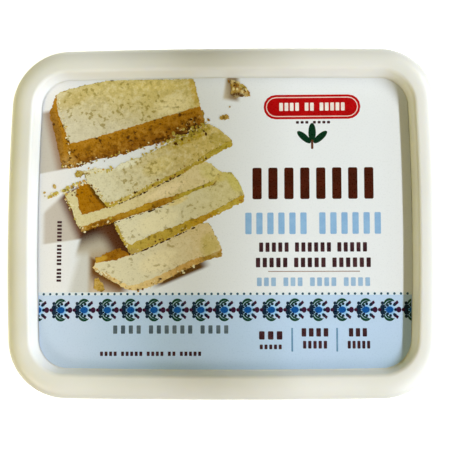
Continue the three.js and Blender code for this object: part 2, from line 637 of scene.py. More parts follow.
@dataclass(frozen=True)
class StudioPaper:
    """The pale floor: white paper on a light table, which ends in front of the tub and to its right.

    Attributes:
        name: the material's name.
        color: the paper.
        fibre_color: of the fibres in it.
        fibre_size: their width, in millimetres.
        far_color: of the paper past the light table.
        glow: of the light table.
        right_end: x where the table starts to end, and where it has ended.
        front_end: the same along y.
        right_share: how much of its light is lost past its right end.
    """

    name: str = "studio_paper"
    color: Color = srgb("fbfbfa")
    fibre_color: Color = srgb("f8f8f6")
    fibre_size: float = 1.2
    far_color: Color = srgb("c8c8c4")
    glow: float = 0.75
    right_end: Point = (74.0, 120.0)
    front_end: Point = (-70.0, -110.0)
    right_share: float = 0.9

    def material(self) -> bpy.types.Material:
        """Builds the material.

        Returns:
            The material.
        """
        bench = NodeBench(self.name)
        fibres = bench.noise(self.fibre_size, 3.0)
        past_right = bench.along(ACROSS).rise(*self.right_end) * self.right_share
        beyond = past_right.at_least(bench.along(UPWARDS).rise(*self.front_end))
        color = bench.mix(fibres.rise(0.3, 0.7), self.color, self.fibre_color)
        return bench.finish({
            "Base Color": bench.mix(beyond, color, self.far_color),
            "Roughness": 0.8,
            "Emission Color": bench.mix(beyond, WHITE, BLACK),
            "Emission Strength": self.glow,
            "Normal": bench.bump(fibres, 0.01),
        })


# ---------------------------------------------------------------------------------------------------------
# Shapes
# ---------------------------------------------------------------------------------------------------------


def finish_mesh(mesh: bmesh.types.BMesh, name: str, sharp_above: float = 50.0) -> bpy.types.Object:
    """Turns a shape in millimetres into a smooth-shaded object in metres.

    Args:
        mesh: the shape, which is freed.
        name: the piece's name.
        sharp_above: edges that turn further than this many degrees stay sharp.

    Returns:
        The object, linked to the scene, at the origin.
    """
    bmesh.ops.recalc_face_normals(mesh, faces=mesh.faces[:])
    bmesh.ops.scale(mesh, vec=(1 / METRE,) * 3, verts=mesh.verts[:])
    for face in mesh.faces:
        face.smooth = True
    for edge in mesh.edges:
        edge.smooth = edge.calc_face_angle(0.0) < math.radians(sharp_above)
    data = bpy.data.meshes.new(name)
    mesh.to_mesh(data)
    mesh.free()
    piece = bpy.data.objects.new(name, data)
    bpy.context.scene.collection.objects.link(piece)
    return piece


def dress(piece: bpy.types.Object, material: bpy.types.Material) -> None:
    """Gives a piece its finish and lets it ride on the tub.

    Args:
        piece: the piece.
        material: its material.
    """
    piece.data.materials.append(material)
    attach(piece, BODY)


def arc_span(radius: float, start: float, end: float) -> Point:
    """How far outwards and upwards an arc gets between two headings; below 0, its radius turns right."""
    first, last = math.radians(start), math.radians(end)
    return radius * (math.sin(last) - math.sin(first)), radius * (math.cos(first) - math.cos(last))


class SectionPen:
    """Draws a cross-section as a chain of lines and tangent arcs in the plane y = 0.

    x is the reach, which is how far a point lies outside the core outline, and z is the height. A heading
    of 0 degrees runs outwards, 90 up and 180 inwards.
    """

    ARC_STEP = 7.0  # degrees between two points of an arc

    def __init__(self, mesh: bmesh.types.BMesh, reach: float, height: float, heading: float = 0.0) -> None:
        """Puts the pen down.

        Args:
            mesh: where the section is drawn.
            reach: of the first point.
            height: of the first point.
            heading: in degrees.
        """
        self.mesh = mesh
        self.heading = heading
        self.start = mesh.verts.new((reach, 0.0, height))
        self.tip = self.start

    def to(self, reach: float, height: float) -> "SectionPen":
        """Draws a straight line to a point and keeps the heading.

        Args:
            reach: of the point.
            height: of the point.

        Returns:
            The pen.
        """
        made = bmesh.ops.extrude_vert_indiv(self.mesh, verts=[self.tip])
        self.tip = made["verts"][0]
        self.tip.co = (reach, 0.0, height)
        return self

    def line(self, length: float) -> "SectionPen":
        """Draws a straight line ahead."""
        angle = math.radians(self.heading)
        return self.to(self.tip.co.x + length * math.cos(angle), self.tip.co.z + length * math.sin(angle))

    def arc(self, radius: float, turn: float) -> "SectionPen":
        """Draws an arc.

        Args:
            radius: of the arc.
            turn: degrees that the heading turns; positive to the left.

        Returns:
            The pen.
        """
        angle = math.radians(self.heading)
        side = math.copysign(radius, turn)
        centre = (self.tip.co.x - side * math.sin(angle), 0.0, self.tip.co.z + side * math.cos(angle))
        steps = max(1, math.ceil(abs(turn) / self.ARC_STEP))
        made = bmesh.ops.spin(self.mesh, geom=[self.tip], cent=centre, axis=(0.0, -1.0, 0.0),
                              angle=math.radians(turn), steps=steps, use_merge=False)
        self.tip = next(g for g in made["geom_last"] if isinstance(g, bmesh.types.BMVert))
        self.heading += turn
        return self


@dataclass(frozen=True)
class CorePlan:
    """The core outline that every cross-section is swept round: a rectangle with slightly swelling sides.

    Attributes:
        corner_x: half the distance between the corner centres along X, in millimetres.
        corner_y: the same along Y.
        end_bow: how far each short side swells out.
        side_bow: how far each long side swells out.
        corner_steps: columns of one corner.
        end_steps: columns of one short side.
        side_steps: columns of one long side.
    """

    corner_x: float
    corner_y: float
    end_bow: float = 0.76
    side_bow: float = 0.46
    corner_steps: int = 28
    end_steps: int = 16
    side_steps: int = 20

    @staticmethod
    def swell(half_chord: float, bow: float) -> Point:
        """Radius of the circle that a swelling side follows, and half the angle that the side spans."""
        radius = (half_chord ** 2 + bow ** 2) / (2 * bow)
        return radius, math.asin(half_chord / radius)

    def sweep(self, mesh: bmesh.types.BMesh, shift: float = 0.0) -> None:
        """Sweeps the section that is in the mesh once round the plan, and closes what its ends leave open.

        Args:
            mesh: holds a section drawn by a SectionPen, and then the swept solid.
            shift: how far the solid is moved along X.
        """
        end_radius, end_half = self.swell(self.corner_y, self.end_bow)
        side_radius, side_half = self.swell(self.corner_x, self.side_bow)
        corner_turn = math.pi / 2 - end_half - side_half
        end_middle = self.corner_x + self.end_bow - end_radius
        side_middle = self.corner_y + self.side_bow - side_radius
        bmesh.ops.rotate(mesh, verts=mesh.verts[:], cent=(0.0, 0.0, 0.0),
                         matrix=Matrix.Rotation(-end_half, 3, "Z"))
        bmesh.ops.translate(mesh, verts=mesh.verts[:], vec=(self.corner_x, -self.corner_y, 0.0))
        column = mesh.verts[:] + mesh.edges[:]
        for sign in (1, -1):
            for x, y, angle, steps in (
                (sign * end_middle, 0.0, 2 * end_half, self.end_steps),
                (sign * self.corner_x, sign * self.corner_y, corner_turn, self.corner_steps),
                (0.0, sign * side_middle, 2 * side_half, self.side_steps),
                (-sign * self.corner_x, sign * self.corner_y, corner_turn, self.corner_steps),
            ):
                made = bmesh.ops.spin(mesh, geom=column, cent=(x, y, 0.0), axis=(0.0, 0.0, 1.0),
                                      angle=angle, steps=steps, use_merge=False)
                column = made["geom_last"]
        bmesh.ops.remove_doubles(mesh, verts=mesh.verts[:], dist=MERGE_DISTANCE)
        bmesh.ops.holes_fill(mesh, edges=[e for e in mesh.edges if e.is_boundary], sides=0)
        bmesh.ops.translate(mesh, verts=mesh.verts[:], vec=(shift, 0.0, 0.0))


@dataclass
class Lid:
    """The push-on lid: a skirt, a broad round rim, and a sunk panel inside it. Millimetres and degrees."""

    plan: CorePlan
    top: float
    corner_radius: float = 18.1
    skirt_drop: float = 9.5
    rim_width: float = 9.2
    panel_depth: float = 4.2
    wall: float = 1.0
    skirt_lean: float = 2.0
    shoulder_radius: float = 3.0
    shoulder_turn: float = 55.0
    crown_radius: float = 6.5
    edge_radius: float = 1.5
    wall_slope: float = 70.0
    foot_radius: float = 0.5
    lip_radius: float = 0.4
    flat_ring: float = 1.2  # level ring between the panel's foot and the flat cap

    @property
    def edge_height(self) -> float:
        """Height of the lid's lower edge."""
        return self.top - self.skirt_drop

    @property
    def panel_height(self) -> float:
        """Height of the sunk panel's upper face."""
        return self.top - self.panel_depth

    @property
    def foot_reach(self) -> float:
        """Reach of the foot of the panel's wall."""
        return self.corner_radius - self.rim_width

    def skirt_reach(self, depth: float, height: float) -> float:
        """Reach of the skirt's face.

        Args:
            depth: how far inside the outer face.
            height: where it is measured.

        Returns:
            The reach.
        """
        lean = math.radians(self.skirt_lean)
        lip_top = self.edge_height + arc_span(self.lip_radius, 0.0, UP + self.skirt_lean)[1]
        return self.corner_radius - depth / math.cos(lean) - (height - lip_top) * math.tan(lean)

    def _follow_rim(self, pen: SectionPen, depth: float) -> None:
        """Draws from the skirt up over the rim and down to the panel.

        Args:
            pen: stands on the skirt and heads up along it.
            depth: how far inside the outer face the section runs.
        """
        lean, slope = self.skirt_lean, self.wall_slope
        crown_heading, wall_heading = UP + lean + self.shoulder_turn, INWARDS + slope
        shoulder = arc_span(self.shoulder_radius, UP + lean, crown_heading)
        crown = arc_span(self.crown_radius, crown_heading, INWARDS)
        edge = arc_span(self.edge_radius, INWARDS, wall_heading)
        foot = arc_span(-self.foot_radius, wall_heading, INWARDS)
        skirt_top = self.top - shoulder[1] - crown[1] - depth * math.sin(math.radians(lean))
        wall_run = (-self.panel_depth - edge[1] - foot[1]) / math.sin(math.radians(wall_heading))
        wall_across = wall_run * math.cos(math.radians(wall_heading))
        shoulder_reach = self.skirt_reach(0.0, self.top - shoulder[1] - crown[1])
        top_run = shoulder_reach - self.foot_reach + sum(
            (shoulder[0], crown[0], edge[0], wall_across, foot[0]))
        pen.line((skirt_top - pen.tip.co.z) / math.cos(math.radians(lean)))
        pen.arc(self.shoulder_radius - depth, self.shoulder_turn)
        pen.arc(self.crown_radius - depth, INWARDS - crown_heading)
        pen.line(top_run)
        pen.arc(self.edge_radius - depth, slope)
        pen.line(wall_run)
        pen.arc(self.foot_radius + depth, -slope)
        pen.line(self.flat_ring)

    def build(self) -> bpy.types.Object:
        """Builds the lid's shell.

        Returns:
            The piece.
        """
        mesh = bmesh.new()
        outside = SectionPen(mesh, self.corner_radius - self.lip_radius, self.edge_height)
        outside.arc(self.lip_radius, UP + self.skirt_lean)
        self._follow_rim(outside, 0.0)
        inner_foot = self.skirt_reach(self.wall, self.edge_height)
        inside = SectionPen(mesh, inner_foot, self.edge_height, UP + self.skirt_lean)
        self._follow_rim(inside, self.wall)
        mesh.edges.new((outside.start, inside.start))
        self.plan.sweep(mesh)
        piece = finish_mesh(mesh, "lid_shell")
        dress(piece, SatinPlastic("lid_plastic_satin").material())
        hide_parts("lid")
        return piece


@dataclass
class Tub:
    """The tub under the lid: a grooved base, leaning walls and a flange inside the lid's skirt."""

    plan: CorePlan
    lid: Lid
    fit_gap: float = 0.3
    flange_raise: float = 1.2
    wall_inset: float = 3.6
    wall_lean: float = 7.0
    base_radius: float = 3.5
    groove_inset: float = 3.0
    groove_width: float = 1.6
    groove_depth: float = 0.6
    groove_bevel: float = 0.4
    flange_radius: float = 0.6
    flat_ring: float = 2.0

    def build(self) -> bpy.types.Object:
        """Builds the tub, solid up to the underside of the lid's panel.

        Returns:
            The piece.
        """
        flange = self.lid.edge_height + self.flange_raise
        depth = self.lid.wall + self.fit_gap
        top = self.lid.panel_height - depth
        wall_heading = UP - self.wall_lean
        base_edge = arc_span(self.base_radius, 0.0, wall_heading)
        turned = arc_span(-self.flange_radius, wall_heading, 0.0)
        wall_run = (flange - base_edge[1] - turned[1]) / math.cos(math.radians(self.wall_lean))
        wall_across = wall_run * math.sin(math.radians(self.wall_lean))
        flat_reach = self.lid.corner_radius - self.wall_inset - wall_across - base_edge[0]
        outer = flat_reach - self.groove_inset
        inner = outer - self.groove_width
        mesh = bmesh.new()
        pen = SectionPen(mesh, inner - self.flat_ring, 0.0)
        pen.to(inner, 0.0).to(inner + self.groove_bevel, self.groove_depth)
        pen.to(outer - self.groove_bevel, self.groove_depth).to(outer, 0.0).to(flat_reach, 0.0)
        pen.arc(self.base_radius, wall_heading).line(wall_run).arc(self.flange_radius, -wall_heading)
        pen.to(self.lid.skirt_reach(depth, flange), flange)
        pen.to(self.lid.skirt_reach(depth, top), top)
        pen.to(self.lid.foot_reach, top)
        self.plan.sweep(mesh)
        piece = finish_mesh(mesh, "tub_body", sharp_above=35.0)
        dress(piece, SatinPlastic("tub_plastic_satin").material())
        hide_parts("tub")
        return piece


@dataclass
class Label:
    """The printed film in the lid's panel."""

    plan: CorePlan
    lid: Lid
    film: Film
    thickness: float = 0.2
    margin: float = 0.1
    shift: float = 0.2
    edge_bevel: float = 0.05
    flat_ring: float = 0.8

    @property
    def reach(self) -> float:
        """Reach of the label's edge."""
        return self.lid.foot_reach - self.margin

    @property
    def top(self) -> float:
        """Height of the printed face."""
        return self.lid.panel_height + self.thickness

    def end_at(self, y: float) -> float:
        """Half length of the label at a height y on it, clear of its corners."""
        share = 1 - (y / self.plan.corner_y) ** 2
        return self.plan.corner_x + self.plan.end_bow * share + self.reach

    def side_at(self, x: float) -> float:
        """Half width of the label at a place x on it, clear of its corners."""
        share = 1 - ((x - self.shift) / self.plan.corner_x) ** 2
        return self.plan.corner_y + self.plan.side_bow * share + self.reach

    def build(self) -> bpy.types.Object:
        """Builds the sheet.

        Returns:
            The piece.
        """
        mesh = bmesh.new()
        low, bevel = self.lid.panel_height, self.edge_bevel
        pen = SectionPen(mesh, self.reach - self.flat_ring, low)
        pen.to(self.reach, low).to(self.reach, self.top - bevel)
        pen.to(self.reach - bevel, self.top).to(self.reach - self.flat_ring, self.top)
        self.plan.sweep(mesh, self.shift)
        piece = finish_mesh(mesh, "label_sheet", sharp_above=30.0)
        dress(piece, LabelPrint("label_ground", self.film).material())
        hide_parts("label")
        return piece


# ---------------------------------------------------------------------------------------------------------
# Print
# ---------------------------------------------------------------------------------------------------------


@dataclass(frozen=True)
class Tear:
    """How the outline of a crumbly thing is broken.

    Attributes:
        draw: where the strays are drawn from.
        step: distance between two breaks, in millimetres.
        jag: how far a break strays.
    """

    draw: random.Random
    step: float = 0.5
    jag: float = 0.16

    LIMIT = 2.2  # jags that a break strays at the most

    def roughen(self, mesh: bmesh.types.BMesh, edge: bmesh.types.BMEdge) -> None:
        """Breaks one loose edge.

        Args:
            mesh: what the edge belongs to.
            edge: the edge.
        """
        cuts = int(edge.calc_length() / self.step)
        if not cuts:
            return
        made = bmesh.ops.subdivide_edges(mesh, edges=[edge], cuts=cuts)
        limit = self.LIMIT * self.jag
        for vert in (g for g in made["geom_inner"] if isinstance(g, bmesh.types.BMVert)):
            stray = [self.draw.gauss(0.0, self.jag) for _ in range(2)]
            vert.co += Vector((*(max(-limit, min(limit, s)) for s in stray), 0.0))


class Stencil:
    """Flat shapes of one ink, drawn on the label in millimetres and pressed into a thin closed inlay."""

    LAYER = 0.006  # how far each layer of print stands over the one below it
    SINK = 0.01  # how far an inlay reaches into the label
    STAGGER = 0.618  # share of a layer from one disc's plane to the next one's, so that none coincide
    STAGGER_RANGE = 0.8  # share of a layer that the planes of the discs take up
    ROUND_SIDES = 20  # of a large disc
    DOT_SIDES = 12  # of a small one
    ROUNDING_STEPS = 4  # of a block's corner
    LEAF_STEPS = 12  # along a curved leaf
    LEAF_TAPER = 0.7  # below 1, a leaf is fuller towards its tips
    LEAF_MERGE = 0.005  # millimetres between the corners of a leaf's tip that become one
    CUT_DISTANCE = 0.0001  # millimetres from a cut at which a corner lies on it
    DASH_LENGTHS = (0.5, 1.8)  # millimetres, of the shortest and the longest dash of a broken line
    DASH_WIDTH = 0.55  # millimetres across the widest dash
    DASH_GAP = 0.3  # millimetres between two dashes at the most
    DASH_SHARE = 0.8  # of the line that has dashes
    DASH_SIDES = 8  # of a dash

    def __init__(self, label: Label) -> None:
        """Starts an empty stencil.

        Args:
            label: what its shapes are printed on.
        """
        self.label = label
        self.mesh = bmesh.new()
        self.discs = 0

    def disc(self, x: float, y: float, radius_x: float, radius_y: float | None = None, turn: float = 0.0,
             sides: int = ROUND_SIDES) -> "Stencil":
        """Adds a disc or an ellipse.

        Args:
            x: its middle.
            y: its middle.
            radius_x: half its length.
            radius_y: half its width; the same if left out.
            turn: degrees anticlockwise.
            sides: corners of its outline.

        Returns:
            The stencil.
        """
        size = Matrix.Diagonal((radius_x, radius_x if radius_y is None else radius_y, 1.0, 1.0))
        self.discs += 1
        height = self.discs * self.STAGGER % self.STAGGER_RANGE * self.LAYER
        matrix = Matrix.Translation((x, y, height)) @ Matrix.Rotation(math.radians(turn), 4, "Z") @ size
        bmesh.ops.create_circle(self.mesh, cap_ends=True, segments=sides, radius=1.0, matrix=matrix)
        return self

    def block(self, left: float, low: float, right: float, high: float, rounding: float = 0.0) -> "Stencil":
        """Adds a rectangle with round corners.

        Args:
            left: lowest x.
            low: lowest y.
            right: highest x.
            high: highest y.
            rounding: radius of the corners.

        Returns:
            The stencil.
        """
        middle = Matrix.Translation(((left + right) / 2, (low + high) / 2, 0.0))
        matrix = middle @ Matrix.Diagonal((right - left, high - low, 1.0, 1.0))
        made = bmesh.ops.create_grid(self.mesh, x_segments=1, y_segments=1, size=0.5, matrix=matrix)
        if rounding > 0.0:
            bmesh.ops.bevel(self.mesh, geom=made["verts"], offset=rounding, affect="VERTICES",
                            segments=self.ROUNDING_STEPS, profile=0.5, material=-1)
        return self

    def sickle(self, x: float, y: float, radius: float, start: float, end: float, width: float) -> "Stencil":
        """Adds a curved leaf that is pointed at both ends.

        Args:
            x: middle of the circle that the leaf follows.
            y: middle of the circle that the leaf follows.
            radius: of that circle.
            start: angle of its first tip, in degrees.
            end: angle of its last tip.
            width: of its middle.

        Returns:
            The stencil.
        """
        others = set(self.mesh.verts)
        bar = [self.mesh.verts.new((x + radius + side, y, 0.0)) for side in (-0.5, 0.5)]
        turn, span = math.radians(start), math.radians(end - start)
        bmesh.ops.rotate(self.mesh, verts=bar, cent=(x, y, 0.0), matrix=Matrix.Rotation(turn, 3, "Z"))
        bmesh.ops.spin(self.mesh, geom=[*bar, self.mesh.edges.new(bar)], cent=(x, y, 0.0), axis=(0.0, 0.0, 1.0),
                       angle=span, steps=self.LEAF_STEPS, use_merge=False)
        made = [v for v in self.mesh.verts if v not in others]
        middle = Vector((x, y, 0.0))
        for vert in made:
            arm = vert.co - middle
            share = (math.atan2(arm.y, arm.x) - turn) % math.tau / span
            offset = (arm.length - radius) * width * math.sin(math.pi * min(share, 1.0)) ** self.LEAF_TAPER
            vert.co = middle + arm.normalized() * (radius + offset)
        bmesh.ops.remove_doubles(self.mesh, verts=made, dist=self.LEAF_MERGE)
        return self

    def patch(self, corners: Sequence[Point], tear: Tear | None = None, inset: float = 0.0) -> "Stencil":
        """Adds a straight-edged patch.

        Args:
            corners: its corners in order.
            tear: how its outline is broken, if it is.
            inset: how far the outline lies inside the corners' own.

        Returns:
            The stencil.
        """
        verts = [self.mesh.verts.new((x, y, 0.0)) for x, y in corners]
        face = self.mesh.faces.new(verts)
        if inset > 0.0:
            ring = bmesh.ops.inset_region(self.mesh, faces=[face], thickness=inset, use_boundary=True,
                                          use_even_offset=True)
            bmesh.ops.delete(self.mesh, geom=ring["faces"], context="FACES")
        if tear is not None:
            outline = face.edges[:]
            bmesh.ops.delete(self.mesh, geom=[face], context="FACES_ONLY")
            for edge in outline:
                tear.roughen(self.mesh, edge)
            bmesh.ops.contextual_create(self.mesh, geom=[e for e in self.mesh.edges if e.is_wire])
        return self

    def dashes(self, line: Sequence[Point], draw: random.Random) -> "Stencil":
        """Adds a broken line of short strokes.

        Args:
            line: the corners that it passes.
            draw: for the strokes' lengths, widths and gaps.

        Returns:
            The stencil.
        """
        for (x0, y0), (x1, y1) in zip(line, line[1:]):
            length, turn, at = math.dist((x0, y0), (x1, y1)), math.degrees(math.atan2(y1 - y0, x1 - x0)), 0.0
            while at < length:
                dash = draw.uniform(*self.DASH_LENGTHS)
                if draw.random() < self.DASH_SHARE:
                    part = min(1.0, (at + dash / 2) / length)
                    self.disc(x0 + (x1 - x0) * part, y0 + (y1 - y0) * part, dash / 2,
                              draw.uniform(0.3, 1.0) * self.DASH_WIDTH / 2, turn + draw.gauss(0.0, 8.0),
                              self.DASH_SIDES)
                at += dash + draw.uniform(0.0, self.DASH_GAP)
        return self

    def cut(self, point: Point, outwards: Point) -> "Stencil":
        """Cuts away what lies past a line.

        Args:
            point: a point of the line.
            outwards: the direction that is cut away.

        Returns:
            The stencil.
        """
        bmesh.ops.bisect_plane(self.mesh, geom=self.mesh.verts[:] + self.mesh.edges[:] + self.mesh.faces[:],
                               dist=self.CUT_DISTANCE, plane_co=(*point, 0.0), plane_no=(*outwards, 0.0),
                               clear_outer=True)
        return self

    def press(self, name: str, layer: float) -> bpy.types.Object:
        """Gives the shapes their thickness on the label.

        Args:
            name: the piece's name.
            layer: how many layers of print it stands over the film.

        Returns:
            The piece, not yet dressed.
        """
        mesh = self.mesh
        made = bmesh.ops.extrude_face_region(mesh, geom=mesh.faces[:])
        upper = [g for g in made["geom"] if isinstance(g, bmesh.types.BMVert)]
        bmesh.ops.translate(mesh, verts=upper, vec=(0.0, 0.0, self.SINK + layer * self.LAYER))
        bmesh.ops.translate(mesh, verts=mesh.verts[:], vec=(0.0, 0.0, self.label.top - self.SINK))
        return finish_mesh(mesh, name, sharp_above=30.0)


@dataclass(frozen=True)
class BlockLine:
    """A line of plain blocks that stands where a pack has lettering.

    Attributes:
        left: lowest x.
        low: lowest y.
        right: highest x.
        high: highest y.
        words: how many blocks each word has, from the left.
        gap: between two blocks, in block widths.
        space: between two words, in block widths.
        rounding: of the corners, in millimetres.
        upright: whether the line runs up the label instead of across it.
    """

    left: float
    low: float
    right: float
    high: float
    words: tuple[int, ...]
    gap: float = 0.6
    space: float = 1.6
    rounding: float = 0.2
    upright: bool = False

    def draw(self, stencil: Stencil) -> None:
        """Adds the blocks to a stencil.

        Args:
            stencil: where they are added.
        """
        blocks = sum(self.words)
        gaps = blocks - len(self.words)
        spaces = len(self.words) - 1
        length = self.high - self.low if self.upright else self.right - self.left
        width = length / (blocks + gaps * self.gap + spaces * self.space)
        at = self.low if self.upright else self.left
        for word in self.words:
            for _ in range(word):
                if self.upright:
                    stencil.block(self.left, at, self.right, at + width, self.rounding)
                else:
                    stencil.block(at, self.low, at + width, self.high, self.rounding)
                at += width * (1 + self.gap)
            at += width * (self.space - self.gap)


class Folk(Enum):
    """Inks of the folk-flower border, in the order in which its pieces are made."""

    HALO = "90c0ec"
    BLUE = "0a4e98"
    NAVY = "0c2238"
    LEAF = "0a3c2a"
    PLUM = "38102e"
    DOT = "1e4a64"

    @property
    def layer(self) -> int:
        """Layer of the print that the ink lies in."""
        return {"HALO": 1, "BLUE": 2, "NAVY": 4, "LEAF": 3, "PLUM": 5, "DOT": 1}[self.name]


FLOWER_MIDLINE = (  # discs on a flower's own axis: ink, x from its middle, half length, half width
    (Folk.HALO, 0.0, 1.75, 1.6), (Folk.HALO, 1.55, 0.9, 0.55), (Folk.HALO, -3.0, 0.3, 0.3),
    (Folk.BLUE, 0.0, 1.15, 1.0), (Folk.BLUE, -1.05, 0.45, 0.22),
    (Folk.NAVY, -2.22, 0.72, 1.55), (Folk.NAVY, 1.92, 0.62, 0.48),
    (Folk.PLUM, 2.74, 0.74, 0.88), (Folk.PLUM, -3.0, 0.54, 0.54),
)
FLOWER_DOTS = (  # round dots on each side of the axis: x, y from the middle, radius
    (-2.16, 2.0, 0.5), (-1.7, 1.2, 0.34), (-0.64, 1.28, 0.44), (0.25, 1.78, 0.44), (-1.28, 0.7, 0.34),
)
FLOWER_PETALS = (  # ovals on each side of it: ink, x, y, half length, half width, turn in degrees
    (Folk.NAVY, 1.64, 1.68, 0.76, 0.48, 44.0), (Folk.PLUM, 2.12, 2.22, 0.58, 0.32, 56.0),
    (Folk.PLUM, 2.26, 2.0, 0.5, 0.28, 32.0), (Folk.HALO, 1.02, 1.02, 0.85, 0.42, 45.0),
)
FLOWER_LEAVES = (  # curved leaves on each side of it: x, y, radius, angles of the two tips, width
    (0.1, 1.37, 1.74, 38.0, 182.0, 0.74), (1.04, -0.1, 2.72, 90.0, 154.0, 0.55),
)


@dataclass
class FlowerBorder:
    """A row of folk carnations between the white ground and the blue field, under a row of dots.

    Attributes:
        label: what it is printed on.
        film: the label's skin.
        middle_y: height of the flowers' middles on the label, in millimetres.
        first_x: middle of the first flower.
        pitch: from one flower to the next.
        count: of the flowers.
        dot_y: height of the dots.
        dot_radius: of each dot.
        dot_first_x: middle of the first dot.
        dot_pitch: from one dot to the next.
        dot_count: of the dots.
        end_gap: from the border's ends to the label's edge.
        ink_patch: width of a thinner patch of its inks.
    """

    label: Label
    film: Film
    middle_y: float = -26.75
    first_x: float = -56.51
    pitch: float = 7.106
    count: int = 17
    dot_y: float = -21.9
    dot_radius: float = 0.38
    dot_first_x: float = -54.74
    dot_pitch: float = 1.9685
    dot_count: int = 57
    end_gap: float = 0.1
    ink_patch: float = 1.2

    def _flower(self, sheets: Mapping[Folk, Stencil], x: float) -> None:
        """Draws one flower that looks to the right.

        Args:
            sheets: one stencil for each ink.
            x: middle of the flower.
        """
        y = self.middle_y
        for ink, out, half_length, half_width in FLOWER_MIDLINE:
            sheets[ink].disc(x + out, y, half_length, half_width)
        for side in (1, -1):
            for out, up, radius, start, end, width in FLOWER_LEAVES:
                tips = (start, end) if side > 0 else (-end, -start)
                sheets[Folk.LEAF].sickle(x + out, y + side * up, radius, *tips, width)
            for out, up, radius in FLOWER_DOTS:
                sheets[Folk.NAVY].disc(x + out, y + side * up, radius, sides=Stencil.DOT_SIDES)
            for ink, out, up, half_length, half_width, turn in FLOWER_PETALS:
                sheets[ink].disc(x + out, y + side * up, half_length, half_width, side * turn)

    def _press(self, sheet: Stencil, ink: Folk) -> bpy.types.Object:
        """Trims the shapes of one ink to the label, presses them and dresses them.

        Args:
            sheet: its shapes.
            ink: the ink.

        Returns:
            The piece.
        """
        end = self.label.end_at(self.middle_y) - self.end_gap
        for side in (1, -1):
            sheet.cut((self.label.shift + side * end, 0.0), (side, 0.0))
        name, color = ink.name.lower(), srgb(ink.value)
        piece = sheet.press(f"border_{name}", ink.layer)
        thin = (*(min(1.0, c * 1.2 + 0.004) for c in color[:3]), 1.0)
        dress(piece, Ink(f"ink_{name}", self.film, color, thin, self.ink_patch).material())
        return piece

    def build(self) -> list[bpy.types.Object]:
        """Builds the border, one piece for each ink.

        Returns:
            The pieces.
        """
        sheets = {ink: Stencil(self.label) for ink in Folk}
        for k in range(self.count):
            self._flower(sheets, self.first_x + k * self.pitch)
        for k in range(self.dot_count):
            x = self.dot_first_x + k * self.dot_pitch
            sheets[Folk.DOT].disc(x, self.dot_y, self.dot_radius, sides=Stencil.DOT_SIDES)
        return [self._press(sheet, ink) for ink, sheet in sheets.items()]


@dataclass(frozen=True)
class Face:
    """One face of a pictured piece of halva.

    Attributes:
        tones: its colours.
        run: in which it gets from light to dark.
        broken: 0 for a smooth cut, 1 for a broken one.
        corners: its outline, in millimetres, if it has one of its own.
        stains: patches of other colours in it.
    """

    tones: Tones
    run: Run
    broken: float
    corners: tuple[Point, ...] = ()
    stains: tuple[Stain, ...] = ()


@dataclass(frozen=True)
class Slab:
    """One pictured piece of halva.

    Attributes:
        name: of the piece.
        layer: of its side; its rim, face and the dark gap below it follow.
        side: its darker side, which reaches under the face.
        face: its pale cut face.
        gap: the line along which it lies on the next piece.
    """

    name: str
    layer: int
    side: Face
    face: Face
    gap: tuple[Point, ...] = ()


